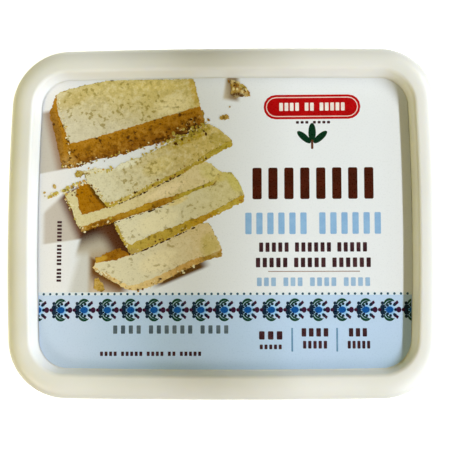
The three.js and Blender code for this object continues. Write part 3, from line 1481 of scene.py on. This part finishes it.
SLABS = (
    Slab("block", 3,
        side=Face(Tones("b07a14", "774208", "46260a", "c49440"), Run((-28.0, 30.0), -73.0, 9.5), 0.6, corners=(
            (-51.8, 39.9), (-53.9, 34.2), (-53.0, 30.7), (-50.9, 21.9), (-49.8, 16.8), (-47.2, 16.8),
            (-44.3, 17.4), (-41.3, 18.5), (-38.7, 19.7), (-34.8, 20.0), (-29.4, 21.5), (-24.2, 23.4),
            (-19.7, 24.4), (-12.9, 26.4), (-10.0, 27.6), (-5.8, 30.3), (-5.7, 31.9), (-6.1, 34.2),
            (-7.3, 36.0), (-9.0, 40.0), (-48.0, 36.0), (-51.5, 39.0)
        ), stains=(
            Stain((-51.5, 27.0), (9.0, 1.6), -79.0, "8e6426"),
            Stain((-47.5, 19.0), (2.4, 1.8), 0.0, "bc9450"),
            Stain((-11.5, 27.8), (5.2, 1.3), 25.0, "4c2806", 0.95),
            Stain((-5.9, 32.8), (3.0, 0.5), -80.0, "a89040"),
            Stain((-40.5, 19.6), (3.2, 0.9), 15.0, "74450f")
        )),
        face=Face(Tones("d6cfb6", "d2c17b"), Run((-40.0, 28.5), 75.0, 15.0), 0.3, corners=(
            (-51.8, 39.9), (-48.6, 41.3), (-43.3, 42.7), (-39.4, 43.5), (-35.1, 44.2), (-22.7, 44.4),
            (-9.2, 44.4), (-8.3, 40.6), (-7.1, 36.0), (-9.5, 35.3), (-17.5, 32.9), (-28.4, 29.6),
            (-34.9, 27.7), (-40.1, 26.2), (-47.2, 24.5), (-49.7, 30.6), (-51.1, 33.7), (-51.5, 36.8)
        ), stains=(
            Stain((-15.5, 36.4), (5.5, 3.2), 12.0, "f6e9b6", 0.7),
            Stain((-8.8, 40.5), (5.0, 1.3), -76.0, "cdae4a"),
            Stain((-46.5, 38.4), (6.0, 2.4), 24.0, "c6b26c", 0.7),
            Stain((-20.0, 42.5), (8.0, 1.6), 0.0, "e4d182", 0.6)
        ))),
    Slab("slice_d", 6,
        side=Face(Tones("ecd294", "ca9d51", "7a5a20", "ecd8a4"), Run((-30.0, -19.0), 24.0, 22.0), 0.25,
                  corners=(
            (-39.3, -13.2), (-39.9, -13.8), (-38.5, -15.3), (-35.9, -16.9), (-32.7, -18.5), (-30.0, -20.3),
            (-27.7, -20.8), (-25.8, -20.8), (-23.5, -20.2), (-19.9, -18.8), (-14.8, -16.1), (-8.6, -13.2),
            (-5.3, -11.8), (-0.4, -10.5), (-0.4, -8.4), (-2.5, -6.0), (-15.0, -9.0), (-30.0, -14.5),
            (-37.0, -13.5)
        ), stains=(
            Stain((-36.5, -16.2), (3.2, 1.2), -38.0, "b8965c"),
            Stain((-3.6, -10.6), (4.0, 1.2), 18.0, "a18027", 0.95)
        )),
        face=Face(Tones("e1dabc", "d8c391"), Run((-26.0, -14.0), 24.0, 22.0), 0.12, corners=(
            (-39.1, -12.2), (-35.9, -11.9), (-32.2, -11.2), (-28.5, -10.2), (-23.8, -8.3), (-14.0, -3.8),
            (-6.7, -0.3), (-4.5, -0.3), (-3.1, -2.6), (-0.5, -8.3), (-4.5, -10.2), (-9.4, -11.4),
            (-17.5, -15.3), (-22.9, -17.7), (-25.9, -18.9), (-28.2, -19.3), (-29.5, -19.0), (-32.2, -17.5),
            (-34.8, -15.9), (-38.0, -14.7), (-39.3, -13.5)
        ), stains=(
            Stain((-20.0, -12.0), (6.0, 3.0), 24.0, "f6e8bc", 0.5),
            Stain((-4.0, -7.0), (3.0, 4.0), 0.0, "c3b060")
        ))),
    Slab("slice_c", 10,
        side=Face(Tones("c5ab4b", "ba9722", "7a6018", "d0ba5c"), Run((-24.0, -7.5), 24.0, 22.0), 0.35, corners=(
            (-33.5, -0.3), (-31.2, -5.1), (-28.3, -9.9), (-26.0, -9.3), (-23.8, -8.1), (-19.2, -6.2),
            (-14.0, -3.7), (-6.7, -0.5), (-4.2, 1.1), (1.5, 3.8), (6.3, 6.3), (6.4, 8.4), (5.0, 10.5),
            (-10.0, 4.0), (-25.0, -2.0), (-31.0, -0.6)
        ), stains=(
            Stain((-6.5, 1.0), (3.6, 1.4), 24.0, "b88c1c", 0.9),
            Stain((2.0, 4.8), (4.2, 1.5), 26.0, "bea844"), Stain((-27.5, -8.9), (1.6, 1.2), 0.0, "b49a55")
        )),
        face=Face(Tones("e5dfc1", "d0c590"), Run((-20.0, -1.0), 20.0, 24.0), 0.12, corners=(
            (-33.5, -0.2), (-30.2, 1.4), (-26.0, 3.1), (-19.5, 5.3), (-13.2, 8.1), (-6.7, 11.0),
            (-2.9, 12.2), (-1.2, 15.2), (2.3, 15.3), (4.0, 13.3), (5.3, 11.1), (6.3, 8.3), (5.0, 8.0),
            (2.9, 6.7), (-1.2, 4.4), (-7.8, 1.4), (-10.8, 0.5), (-15.4, -1.5), (-20.3, -3.1), (-26.8, -6.0),
            (-27.8, -6.9), (-28.8, -6.6), (-30.2, -5.1), (-31.2, -3.3), (-32.3, -0.9)
        ), stains=(
            Stain((-20.0, 0.5), (6.5, 3.0), 22.0, "f8eec4", 0.5),
            Stain((3.4, 12.4), (4.2, 1.8), -58.0, "c8bc60", 0.9),
            Stain((-1.5, 13.6), (4.0, 1.5), 20.0, "ccbe68"),
            Stain((-14.0, 6.4), (3.4, 0.9), 22.0, "ead488", 0.7)
        )),
        gap=((-28.0, -10.1), (-23.8, -8.4), (-14.0, -4.0), (-6.9, -0.9))),
    Slab("slice_b", 14,
        side=Face(Tones("b7861f", "8d5e0b", "5c3c08", "caa23c"), Run((-25.0, 6.0), -70.0, 4.0), 0.4, corners=(
            (-43.7, -1.7), (-43.4, -2.8), (-42.6, -2.8), (-40.8, -2.1), (-35.2, -0.6), (-30.2, 1.2),
            (-22.4, 3.7), (-19.5, 4.6), (-13.2, 7.4), (-6.7, 10.3), (-2.9, 11.4), (-1.0, 13.1), (-0.4, 15.4),
            (-2.2, 15.4), (-8.0, 13.0), (-20.0, 9.0), (-40.0, 3.5), (-44.0, 1.0)
        ), stains=(
            Stain((-38.0, -0.9), (4.2, 1.3), 18.0, "7c4a08", 0.95),
            Stain((-8.0, 10.2), (8.0, 1.2), 24.0, "bfaf40", 0.9),
            Stain((-43.2, -2.0), (1.2, 1.0), 0.0, "c0a05c"),
            Stain((-1.2, 13.8), (3.0, 2.0), 60.0, "d2c274", 0.95),
            Stain((-25.0, 4.2), (4.0, 1.0), 19.0, "c79d29")
        )),
        face=Face(Tones("dad0a1", "e0cf9d"), Run((-44.0, 3.0), 22.0, 26.0), 0.15, corners=(
            (-48.7, 8.6), (-45.4, 10.2), (-43.6, 10.9), (-42.0, 12.9), (-36.0, 9.0), (-30.0, 9.5),
            (-20.0, 13.5), (-12.0, 17.0), (-7.5, 19.2), (-4.2, 18.1), (-1.0, 15.5), (-3.1, 12.9),
            (-6.7, 11.2), (-12.2, 9.3), (-14.9, 8.2), (-19.0, 7.2), (-23.1, 6.0), (-27.3, 4.1), (-33.9, 2.0),
            (-39.2, 0.2), (-42.9, -1.1), (-43.7, -1.9), (-44.8, -0.6), (-46.1, 2.9), (-47.2, 5.8)
        ), stains=(
            Stain((-17.5, 9.8), (6.5, 1.6), 24.0, "f3e1b7"),
            Stain((-3.5, 15.0), (4.5, 2.6), -35.0, "d5c981", 0.9)
        )),
        gap=((-42.0, -2.7), (-35.2, -0.9), (-29.0, 1.3), (-22.4, 3.4), (-15.4, 6.1))),
    Slab("slice_a", 20,
        side=Face(Tones("c3ab46", "b89c2a", "7a6418", "d0bc60"), Run((-16.0, 15.2), -62.0, 2.8), 0.4, corners=(
            (2.7, 25.0), (2.8, 23.6), (-1.6, 21.2), (-3.9, 19.8), (-5.9, 18.6), (-9.0, 17.1), (-12.0, 15.2),
            (-17.8, 12.6), (-21.0, 11.0), (-26.3, 8.3), (-31.6, 6.0), (-34.5, 4.7), (-35.8, 5.0),
            (-36.6, 6.0), (-33.0, 9.5), (-12.0, 20.0), (0.0, 26.0)
        ), stains=(
            Stain((-1.0, 22.6), (4.5, 1.2), 28.0, "b4a03a", 0.9),
            Stain((-28.0, 8.4), (5.0, 1.0), 23.0, "cab565")
        )),
        face=Face(Tones("dcd8bc", "ceb86c"), Run((-36.0, 9.0), 28.0, 30.0), 0.3, corners=(
            (-42.8, 15.1), (-42.1, 16.0), (-39.4, 16.6), (-33.5, 16.5), (-31.6, 18.0), (-28.7, 19.1),
            (-25.1, 20.1), (-19.7, 22.8), (-14.3, 25.5), (-9.7, 27.3), (-8.4, 28.5), (-4.8, 30.3),
            (-2.1, 29.1), (1.5, 26.3), (2.7, 25.0), (0.6, 24.7), (-1.6, 23.0), (-5.9, 20.7), (-9.0, 18.4),
            (-12.0, 16.6), (-16.0, 14.6), (-21.0, 12.3), (-26.3, 9.6), (-31.6, 7.3), (-34.5, 5.9),
            (-36.4, 6.6), (-38.8, 8.8), (-39.9, 10.4), (-40.9, 12.1), (-42.0, 13.2)
        ), stains=(
            Stain((-10.5, 26.2), (7.0, 1.9), 27.0, "b69a1a", 0.95),
            Stain((-1.6, 25.6), (3.4, 2.2), 0.0, "bda955", 0.9),
            Stain((-30.0, 18.0), (5.0, 1.2), 17.0, "eeeed8"),
            Stain((-20.0, 17.4), (5.0, 2.4), 25.0, "dfce84", 0.6)
        )),
        gap=((-35.0, 4.5), (-31.4, 5.9), (-24.2, 9.1), (-17.8, 12.3), (-12.4, 14.9))),
)


@dataclass(frozen=True)
class Spots:
    """Torn spots of one look in the picture.

    Attributes:
        name: of the piece.
        layer: of the print.
        face: their look.
        outlines: corners of each torn spot, in millimetres.
        dots: middle, half length, half width, turn and number of sides of each small one.
    """

    name: str
    layer: int
    face: Face
    outlines: tuple[tuple[Point, ...], ...]
    dots: tuple[tuple[float, float, float, float, float, int], ...]


SPOTS = (
    Spots("brown", 18,  # patches on two slices
        Face(Tones("ab7204", "98630f", "5a360a", "c0902c"), Run((-43.0, 9.0), -60.0, 10.0), 0.3, stains=(
            Stain((-38.2, 8.4), (5.0, 1.3), -52.0, "4a300a", 0.95),
            Stain((-37.8, -11.4), (2.4, 0.9), 20.0, "d6ac3f"),
            Stain((-7.5, 19.1), (2.0, 1.2), 0.0, "7a4a0a", 0.95)
        )), outlines=(
            ((-45.2, 10.1), (-42.3, 12.7), (-40.9, 11.7), (-39.3, 9.0), (-36.9, 6.3), (-34.8, 4.7),
             (-36.6, 4.2), (-40.8, 3.1), (-43.5, 2.4), (-44.3, 4.5), (-44.6, 7.1), (-45.4, 8.5)),
            ((-39.1, -10.9), (-36.5, -9.8), (-33.8, -8.5), (-31.7, -8.0), (-29.6, -9.1), (-28.6, -10.1),
             (-32.2, -11.3), (-35.9, -12.0), (-39.0, -12.4))
        ), dots=((-7.5, 19.1, 1.5, 0.95, 10.0, 9),)),
    Spots("loose", 24,  # large loose crumbs
        Face(Tones("c0a04c", "a88436", "5a3808", "eedfa8"), Run((-41.0, 4.0), 80.0, 60.0), 0.5, stains=(
            Stain((4.4, 39.3), (2.6, 0.8), 0.0, "4c2407", 0.95),
            Stain((4.0, 41.9), (1.0, 0.8), -40.0, "7a4a08"),
            Stain((4.6, 43.4), (2.0, 0.5), -14.0, "dccb90"),
            Stain((6.0, 41.9), (1.2, 0.7), -50.0, "b4a044"),
            Stain((6.0, 40.4), (1.0, 0.6), 40.0, "e4d0a0"),
            Stain((-38.6, -19.0), (2.0, 2.0), 0.0, "bc9438"),
            Stain((-44.4, 15.0), (1.6, 1.0), 0.0, "a8923a")
        )), outlines=(
            ((2.1, 43.9), (4.2, 43.6), (6.2, 42.6), (7.6, 40.8), (8.4, 38.8), (5.4, 38.7), (3.2, 38.5),
             (2.2, 39.6), (2.4, 41.4)),
            ((-39.3, -17.4), (-38.0, -16.9), (-36.4, -19.3), (-36.0, -20.6), (-36.9, -21.3), (-39.3, -20.3)),
            ((-45.8, 15.2), (-45.0, 16.2), (-43.1, 15.9), (-42.8, 14.9), (-43.9, 13.8), (-45.2, 14.1)),
            ((-1.1, 32.1), (-0.3, 33.1), (1.3, 33.1), (1.9, 31.8), (0.4, 31.4))
        ), dots=((-51.9, 11.2, 0.5, 0.8, 20.0, 7), (-55.0, 9.3, 0.45, 0.35, 30.0, 7),
                 (2.0, 35.6, 0.26, 0.26, 0.0, 7))),
)


@dataclass(frozen=True)
class CrumbLine:
    """A line along which crumbs lie.

    Attributes:
        start: its start, in millimetres.
        end: its end.
        count: how many crumbs.
        spread: how far they stray.
        shares: of the pale, the ochre, the olive and the dark ones.
        size: radius of the largest.
    """

    start: Point
    end: Point
    count: int
    spread: float
    shares: tuple[float, float, float, float]
    size: float = 0.36


CRUMB_LINES = (
    CrumbLine((-49.4, 17.2), (-42.0, 18.6), 24, 0.5, (3, 4, 1, 2)),
    CrumbLine((-41.0, 18.9), (-22.0, 23.9), 34, 0.35, (3, 3, 2, 3), 0.3),
    CrumbLine((-21.0, 24.6), (-7.0, 29.4), 46, 0.9, (4, 5, 2, 4), 0.42),
    CrumbLine((-13.0, 29.0), (-7.4, 32.0), 30, 0.8, (1, 6, 1, 3)),
    CrumbLine((-51.2, 38.0), (-47.6, 25.6), 30, 0.3, (5, 2, 3, 0), 0.26),
    CrumbLine((-48.0, 24.0), (-46.6, 17.4), 22, 0.4, (4, 5, 0, 1), 0.32),
    CrumbLine((-17.0, 24.4), (-4.6, 29.8), 80, 0.9, (3, 1, 7, 1), 0.5),
    CrumbLine((-28.0, 19.2), (-16.0, 24.0), 20, 0.5, (3, 0, 4, 0), 0.4),
    CrumbLine((-42.5, 15.4), (-33.5, 16.8), 30, 0.6, (6, 2, 3, 0), 0.42),
    CrumbLine((-40.6, 12.4), (-35.6, 6.2), 20, 0.35, (5, 2, 2, 1), 0.34),
    CrumbLine((-35.0, 5.4), (-10.0, 17.0), 40, 0.5, (4, 2, 4, 2), 0.34),
    CrumbLine((-9.4, 17.2), (-5.0, 20.6), 12, 0.6, (4, 1, 4, 1), 0.4),
    CrumbLine((-48.6, 8.4), (-43.8, -1.6), 24, 0.35, (5, 1, 4, 0), 0.34),
    CrumbLine((-43.4, -2.2), (-34.0, 0.4), 14, 0.35, (4, 3, 1, 1), 0.34),
    CrumbLine((-33.4, -0.6), (-28.4, -8.6), 16, 0.3, (5, 1, 2, 0), 0.3),
    CrumbLine((-26.0, -8.8), (6.0, 6.6), 22, 0.4, (3, 2, 3, 1), 0.3),
    CrumbLine((-38.8, -14.8), (-28.0, -20.4), 16, 0.35, (5, 3, 0, 0), 0.32),
    CrumbLine((-26.0, -20.6), (-8.0, -13.4), 22, 0.35, (6, 3, 0, 1), 0.34),
    CrumbLine((-54.4, 7.8), (-47.6, 10.3), 34, 0.35, (6, 2, 4, 0), 0.52),
    CrumbLine((-47.4, 10.4), (-42.2, 12.8), 28, 0.35, (5, 3, 4, 1), 0.46),
    CrumbLine((-46.0, 9.0), (-44.6, 8.2), 6, 0.4, (0, 0, 0, 1), 0.26),
    CrumbLine((2.8, 42.8), (7.6, 40.2), 16, 0.8, (4, 3, 2, 3), 0.44),
)


GAP_TONES = Tones("4a2e0c", "2e1a06", "1e1002", "7a5a24")
CRUMB_TONES = (  # of the pale, the ochre, the olive and the dark crumbs
    Tones("e8e0bc", "d8c888", "a8924a"), Tones("c89c46", "a47424", "6a4410", "e4c47c"),
    Tones("c2ae4c", "aa9636", "6e5c18", "dccc80"), Tones("6e4814", "4a2a08", "3a2004", "946c2c"),
)
CRUMB_RUN = Run((-30.0, 0.0), 20.0, 30.0)


@dataclass
class HalvaPicture:
    """The pictured halva: one block, four slices and their crumbs.

    Attributes:
        label: what it is printed on.
        film: the label's skin.
        seed: of the random draws.
        rim: width of a face's broken edge, in millimetres.
        crumb_size: scale of all crumbs.
        crumb_sides: corners of a crumb's outline.
        crumb_layer: of the print, for the pale crumbs; the other three follow.
        trim_x: two places between which the label's upper side cuts the picture off.
        trim_gap: from the cut to the label's side, in millimetres.
    """

    label: Label
    film: Film
    seed: int = 11
    rim: float = 0.3
    crumb_size: float = 1.35
    crumb_sides: int = 6
    crumb_layer: int = 25
    trim_x: Point = (-40.0, -8.0)
    trim_gap: float = 0.08

    def _press(self, stencil: Stencil, name: str, layer: int, look: Face) -> bpy.types.Object:
        """Cuts one look's shapes off at the label's side, presses them and gives them their crumbly finish.

        Args:
            stencil: the shapes.
            name: of the piece, after the picture's own.
            layer: of the print.
            look: their colours.

        Returns:
            The piece.
        """
        left, right = self.trim_x
        low, high = (self.label.side_at(x) - self.trim_gap for x in self.trim_x)
        slope = (high - low) / (right - left)
        piece = stencil.cut((left, low), (-slope, 1.0)).press(f"picture_{name}", layer)
        finish = PicturedHalva(f"halva_{name}", self.film, look.run, look.tones, look.broken, look.stains)
        dress(piece, finish.material())
        return piece

    def _slab(self, slab: Slab, draw: random.Random) -> list[bpy.types.Object]:
        """Builds one piece of halva.

        Args:
            slab: what it is.
            draw: for its broken outlines.

        Returns:
            Its pieces.
        """
        side, face = slab.side, slab.face
        rim_tones = Tones(side.tones.light, face.tones.pore, side.tones.pore, face.tones.light)
        parts = [
            ("side", side, Stencil(self.label).patch(side.corners, Tear(draw, jag=0.1 + 0.08 * side.broken))),
            ("rim", replace(face, tones=rim_tones, broken=0.8),
             Stencil(self.label).patch(face.corners, Tear(draw, step=0.45))),
            ("face", face, Stencil(self.label).patch(face.corners, Tear(draw, jag=0.14), self.rim)),
        ]
        if slab.gap:
            dark = replace(face, tones=GAP_TONES, broken=0.6, stains=())
            parts.append(("gap", dark, Stencil(self.label).dashes(slab.gap, draw)))
        return [self._press(stencil, f"{slab.name}_{part}", slab.layer + step, look)
                for step, (part, look, stencil) in enumerate(parts)]

    def _spots(self, spots: Spots, draw: random.Random) -> bpy.types.Object:
        """Builds the torn spots of one look.

        Args:
            spots: what they are.
            draw: for their broken outlines.

        Returns:
            The piece.
        """
        stencil = Stencil(self.label)
        for corners in spots.outlines:
            stencil.patch(corners, Tear(draw))
        for dot in spots.dots:
            stencil.disc(*dot)
        return self._press(stencil, spots.name, spots.layer, spots.face)

    def _crumbs(self, draw: random.Random) -> list[bpy.types.Object]:
        """Scatters the small crumbs.

        Args:
            draw: for their places and sizes.

        Returns:
            The pieces, one for each kind.
        """
        sheets = [Stencil(self.label) for _ in CRUMB_TONES]
        for line in CRUMB_LINES:
            for _ in range(line.count):
                along, size = draw.random(), draw.uniform(0.35, 1.0) * line.size * self.crumb_size
                x, y = (first + (last - first) * along + draw.gauss(0.0, line.spread)
                        for first, last in zip(line.start, line.end))
                sheet = draw.choices(sheets, line.shares)[0]
                width, turn = size * draw.uniform(0.5, 1.0), draw.uniform(0.0, 180.0)
                sheet.disc(x, y, size, width, turn, self.crumb_sides)
        return [self._press(sheet, f"crumbs_{k}", self.crumb_layer + k, Face(tones, CRUMB_RUN, 0.4))
                for k, (tones, sheet) in enumerate(zip(CRUMB_TONES, sheets))]

    def build(self) -> list[bpy.types.Object]:
        """Builds the picture.

        Returns:
            Its pieces.
        """
        draw = random.Random(self.seed)
        pieces = [piece for slab in SLABS for piece in self._slab(slab, draw)]
        return [*pieces, *(self._spots(spots, draw) for spots in SPOTS), *self._crumbs(draw)]


@dataclass(frozen=True)
class Mark:
    """The plain shapes of one ink, which stand where a pack has its name, sign and words.

    Attributes:
        name: of the piece.
        color: code of its ink.
        thin: the same where it lies thinner.
        layer: of the print.
        blocks: left, low, right, high and rounding of each single block, in millimetres.
        leaves: middle, half length, half width and turn of each leaf.
        lines: lines of blocks.
    """

    name: str
    color: str
    thin: str
    layer: int = 1
    blocks: tuple[tuple[float, float, float, float, float], ...] = ()
    leaves: tuple[tuple[float, float, float, float, float], ...] = ()
    lines: tuple[BlockLine, ...] = ()


MARKS = (
    Mark("badge_red", "b20408", "bc0c10", blocks=((12.4, 31.6, 42.0, 39.2, 3.7),)),
    Mark("badge_line", "e9c9c4", "f0dcd8", 2, blocks=((13.1, 32.3, 41.3, 38.5, 3.1),)),
    Mark("badge_field", "aa0408", "b80a0e", 3, blocks=((13.4, 32.6, 41.0, 38.2, 2.8),)),
    Mark("badge_blocks", "f2ecea", "e8dcd8", 4, lines=(
        BlockLine(17.2, 34.2, 37.2, 36.7, (4, 2, 5), gap=0.45),)),
    Mark("sprig_leaves", "042c18", "08341e", leaves=(
        (27.2, 27.4, 3.0, 1.15, 90.0), (24.7, 26.0, 2.7, 1.0, 138.0), (29.7, 26.0, 2.7, 1.0, 42.0))),
    Mark("sprig_stem", "5a2c14", "6a3a1c", 2, blocks=((26.85, 22.3, 27.55, 25.2, 0.3),)),
    Mark("line_heading", "3e1607", "4a1a0b", lines=(
        BlockLine(8.9, 6.9, 45.7, 16.6, (8,), gap=0.72, rounding=0.5),)),
    Mark("line_second", "88b2e0", "92bae4", lines=(
        BlockLine(6.7, -3.8, 47.8, 2.8, (6, 6), gap=0.75, space=2.0, rounding=0.35),)),
    Mark("lines_dark", "361c22", "4a2c32", 3, lines=(
        BlockLine(22.3, 30.2, 32.7, 31.0, (3, 4)),
        BlockLine(10.9, -9.2, 43.5, -6.35, (5, 6, 5)),
        BlockLine(9.9, -13.9, 44.6, -11.0, (5, 5, 6)),
        BlockLine(10.8, -35.7, 17.8, -33.2, (3,), rounding=0.3),
        BlockLine(11.0, -38.6, 17.6, -37.2, (5,)),
        BlockLine(23.6, -34.8, 31.6, -32.3, (4,)),
        BlockLine(24.0, -38.4, 31.2, -36.1, (5,)),
        BlockLine(37.8, -34.8, 43.2, -32.3, (3,)),
        BlockLine(37.4, -38.4, 44.1, -36.1, (5,)),
        BlockLine(-37.3, -40.6, -6.7, -39.3, (4, 5, 4, 2, 5), rounding=0.12),
        BlockLine(-50.9, -18.1, -49.5, 0.5, (4, 6, 6), rounding=0.12, upright=True))),
    Mark("line_weight", "93b4da", "9ebee0", lines=(
        BlockLine(10.2, -19.6, 44.3, -17.0, (3, 3, 4, 4), gap=0.5, rounding=0.25),)),
    Mark("thin_rule", "9c8a84", "a8968e", blocks=((13.6, -15.3, 41.3, -15.0, 0.0),)),
    Mark("dividers", "5e8ab2", "7098bc", blocks=(
        (20.49, -39.3, 21.01, -32.2, 0.1), (33.99, -39.3, 34.51, -32.2, 0.1))),
    Mark("line_stamp", "4a5a68", "62707c", lines=(
        BlockLine(-33.4, -33.9, 1.5, -31.4, (4, 6, 4), gap=0.9, space=2.0, rounding=0.2),)),
)


@dataclass
class PlainMarks:
    """Plain shapes that stand where a pack has its name, sign and words. None of them is lettering."""

    label: Label
    film: Film

    def build(self) -> list[bpy.types.Object]:
        """Builds the marks.

        Returns:
            The pieces, one for each ink.
        """
        pieces = []
        for mark in MARKS:
            stencil = Stencil(self.label)
            for block in mark.blocks:
                stencil.block(*block)
            for leaf in mark.leaves:
                stencil.disc(*leaf)
            for line in mark.lines:
                line.draw(stencil)
            piece = stencil.press(mark.name, mark.layer)
            ink = Ink(f"ink_{mark.name}", self.film, srgb(mark.color), srgb(mark.thin))
            dress(piece, ink.material())
            pieces.append(piece)
        return pieces


# ---------------------------------------------------------------------------------------------------------
# Studio
# ---------------------------------------------------------------------------------------------------------


@dataclass(frozen=True)
class Panel:
    """A soft rectangular light.

    Attributes:
        name: of the light.
        place: its middle, in millimetres.
        power: in watts.
        color: scene-linear red, green and blue.
        width: along the horizon, in millimetres.
        height: across it.
        aim: the point that it faces.
    """

    name: str
    place: Triple
    power: float
    color: Triple
    width: float = 240.0
    height: float = 90.0
    aim: Triple = (0.0, 0.0, 34.0)

    def build(self) -> None:
        """Adds the light."""
        light = bpy.data.lights.new(self.name, "AREA")
        light.shape = "RECTANGLE"
        light.size, light.size_y = self.width / METRE, self.height / METRE
        light.energy = self.power
        light.color = self.color
        lamp = bpy.data.objects.new(self.name, light)
        lamp.location = Vector(self.place) / METRE
        facing = Vector(self.aim) - Vector(self.place)
        lamp.rotation_euler = facing.to_track_quat("-Z", "Y").to_euler()
        bpy.context.scene.collection.objects.link(lamp)


@dataclass(frozen=True)
class Scrim:
    """A strip of half-clear cloth before the window, out of the picture, that dims the lid's middle.

    Attributes:
        foot: x of the middle of its shadow on the lid, in millimetres.
        distance: from there to the strip.
        side_shift: y of its middle.
        width: across the light.
        length: along the window.
        density: share of the light that it takes.
    """

    foot: float = -11.4
    distance: float = 350.0
    side_shift: float = 70.0
    width: float = 16.6
    length: float = 900.0
    density: float = 0.53

    def build(self, window: Panel, level: float) -> bpy.types.Object:
        """Hangs the strip.

        Args:
            window: the light that it dims.
            level: height of the lid.

        Returns:
            The strip.
        """
        foot = Vector((self.foot, 0.0, level))
        ray = (Vector((window.place[0], 0.0, window.place[2])) - foot).normalized()
        turn = Matrix((Vector((ray.z, 0.0, -ray.x)), Vector((0.0, 1.0, 0.0)), ray)).transposed().to_4x4()
        middle = foot + ray * self.distance + Vector((0.0, self.side_shift, 0.0))
        size = Matrix.Diagonal((self.width, self.length, 1.0, 1.0))
        mesh = bmesh.new()
        bmesh.ops.create_grid(mesh, x_segments=1, y_segments=1, size=0.5,
                              matrix=Matrix.Translation(middle) @ turn @ size)
        strip = finish_mesh(mesh, "scrim")
        cloth = NodeBench("scrim_cloth").finish({"Base Color": BLACK, "Roughness": 1.0, "Alpha": self.density})
        strip.data.materials.append(cloth)
        strip.visible_camera = strip.visible_glossy = strip.visible_diffuse = False
        strip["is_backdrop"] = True
        return strip


@dataclass
class Studio:
    """Floor, lights and camera.

    Attributes:
        rim_height: level of the rim's outline, which the framing goes by, in millimetres.
        distance: from there to the camera.
        tilt_front: degrees from straight above towards the front.
        tilt_side: degrees from straight above towards +X.
        aim_offset: from the lid's middle to the picture's, in millimetres right and up in the picture.
        pixels_per_mm: scale of the picture at the rim.
        floor_size: width of the floor.
        air: colour of the faint light from all round.
        air_strength: of that light.
        window: the main light.
        fills: the weak ones round the tub.
    """

    rim_height: float = 34.4
    distance: float = 380.0
    tilt_front: float = 6.16
    tilt_side: float = 2.43
    aim_offset: Point = (0.533, -0.971)
    pixels_per_mm: float = 3.2859
    floor_size: float = 4000.0
    air: Color = (1.0, 0.93, 0.7, 1.0)
    air_strength: float = 0.008
    window: Panel = Panel("window", (1000.0, 250.0, 795.0), 20.3, (0.875, 0.925, 0.965), 1500.0, 50.0,
                          aim=(0.0, 250.0, 34.0))
    fills: tuple[Panel, ...] = (
        Panel("fill_left", (-335.0, 0.0, 406.0), 0.41, (1.0, 0.86, 0.1), 480.0),
        Panel("fill_left_low", (-485.0, 0.0, 155.0), 0.3, (1.0, 0.95, 0.08), 480.0),
        Panel("fill_left_front", (-312.0, -312.0, 269.0), 0.82, (1.0, 0.89, 0.78)),
        Panel("fill_right_front", (312.0, -312.0, 269.0), 0.38, (1.0, 0.85, 0.78)),
        Panel("fill_right_low", (343.0, -343.0, 155.0), 0.64, (0.84, 0.96, 0.92)),
        Panel("fill_back_right", (278.0, 332.0, 284.0), 0.22, (1.0, 0.8, 0.2)),
    )

    def _camera(self) -> None:
        """Adds the camera."""
        front, side = math.radians(self.tilt_front), math.radians(self.tilt_side)
        back = Vector((math.sin(side), -math.sin(front) * math.cos(side), math.cos(front) * math.cos(side)))
        right = Vector((0.0, 1.0, 0.0)).cross(back).normalized()
        up = back.cross(right)
        aim = Vector((0.0, 0.0, self.rim_height)) + right * self.aim_offset[0] + up * self.aim_offset[1]
        data = bpy.data.cameras.new("camera")
        data.sensor_width = SENSOR_WIDTH
        data.lens = self.pixels_per_mm * self.distance * SENSOR_WIDTH / IMAGE_WIDTH
        data.clip_start = 0.01
        camera = bpy.data.objects.new("camera", data)
        turn = Matrix((right, up, back)).transposed().to_4x4()
        camera.matrix_world = Matrix.Translation((aim + back * self.distance) / METRE) @ turn
        bpy.context.scene.collection.objects.link(camera)
        bpy.context.scene.camera = camera

    def _floor(self) -> bpy.types.Object:
        """Adds the floor.

        Returns:
            The floor.
        """
        mesh = bmesh.new()
        bmesh.ops.create_grid(mesh, x_segments=1, y_segments=1, size=self.floor_size / 2)
        floor = finish_mesh(mesh, "floor")
        floor.data.materials.append(StudioPaper().material())
        floor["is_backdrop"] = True
        return floor

    def build(self) -> list[bpy.types.Object]:
        """Builds the studio.

        Returns:
            Its floor and scrim.
        """
        scene = bpy.context.scene
        scene.view_settings.view_transform = "Standard"
        scene.view_settings.look = "None"
        scene.world = bpy.data.worlds.new("studio_air")
        scene.world.use_nodes = True
        background = scene.world.node_tree.nodes["Background"]
        background.inputs["Color"].default_value = self.air
        background.inputs["Strength"].default_value = self.air_strength
        self._camera()
        for panel in (self.window, *self.fills):
            panel.build()
        return [self._floor(), Scrim().build(self.window, self.rim_height)]


# ---------------------------------------------------------------------------------------------------------
# Assembly
# ---------------------------------------------------------------------------------------------------------


def report(name: str, pieces: Sequence[bpy.types.Object]) -> None:
    """Logs the pieces of one sub-assembly."""
    for piece in pieces:
        LOG.info("%s: %s, %d faces", name, piece.name, len(piece.data.polygons))


def main() -> None:
    """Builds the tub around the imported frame, and the studio round it."""
    logging.basicConfig(level=logging.INFO, format="%(name)s: %(message)s")
    _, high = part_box("lid")
    plan = CorePlan(high.x * METRE - Lid.corner_radius - CorePlan.end_bow,
                    high.y * METRE - Lid.corner_radius - CorePlan.side_bow)
    lid = Lid(plan, top=high.z * METRE)
    tub = Tub(plan, lid)
    film = Film()
    label = Label(plan, lid, film)
    report("studio", Studio().build())
    report("tub", [tub.build()])
    report("lid", [lid.build()])
    report("label", [label.build()])
    report("border", FlowerBorder(label, film).build())
    report("picture", HalvaPicture(label, film).build())
    report("marks", PlainMarks(label, film).build())


if __name__ == "__main__":
    main()
    boxes = {"cad": cad_box, "visual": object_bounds()}
    {name: [list(corner) for corner in box] for name, box in boxes.items()}
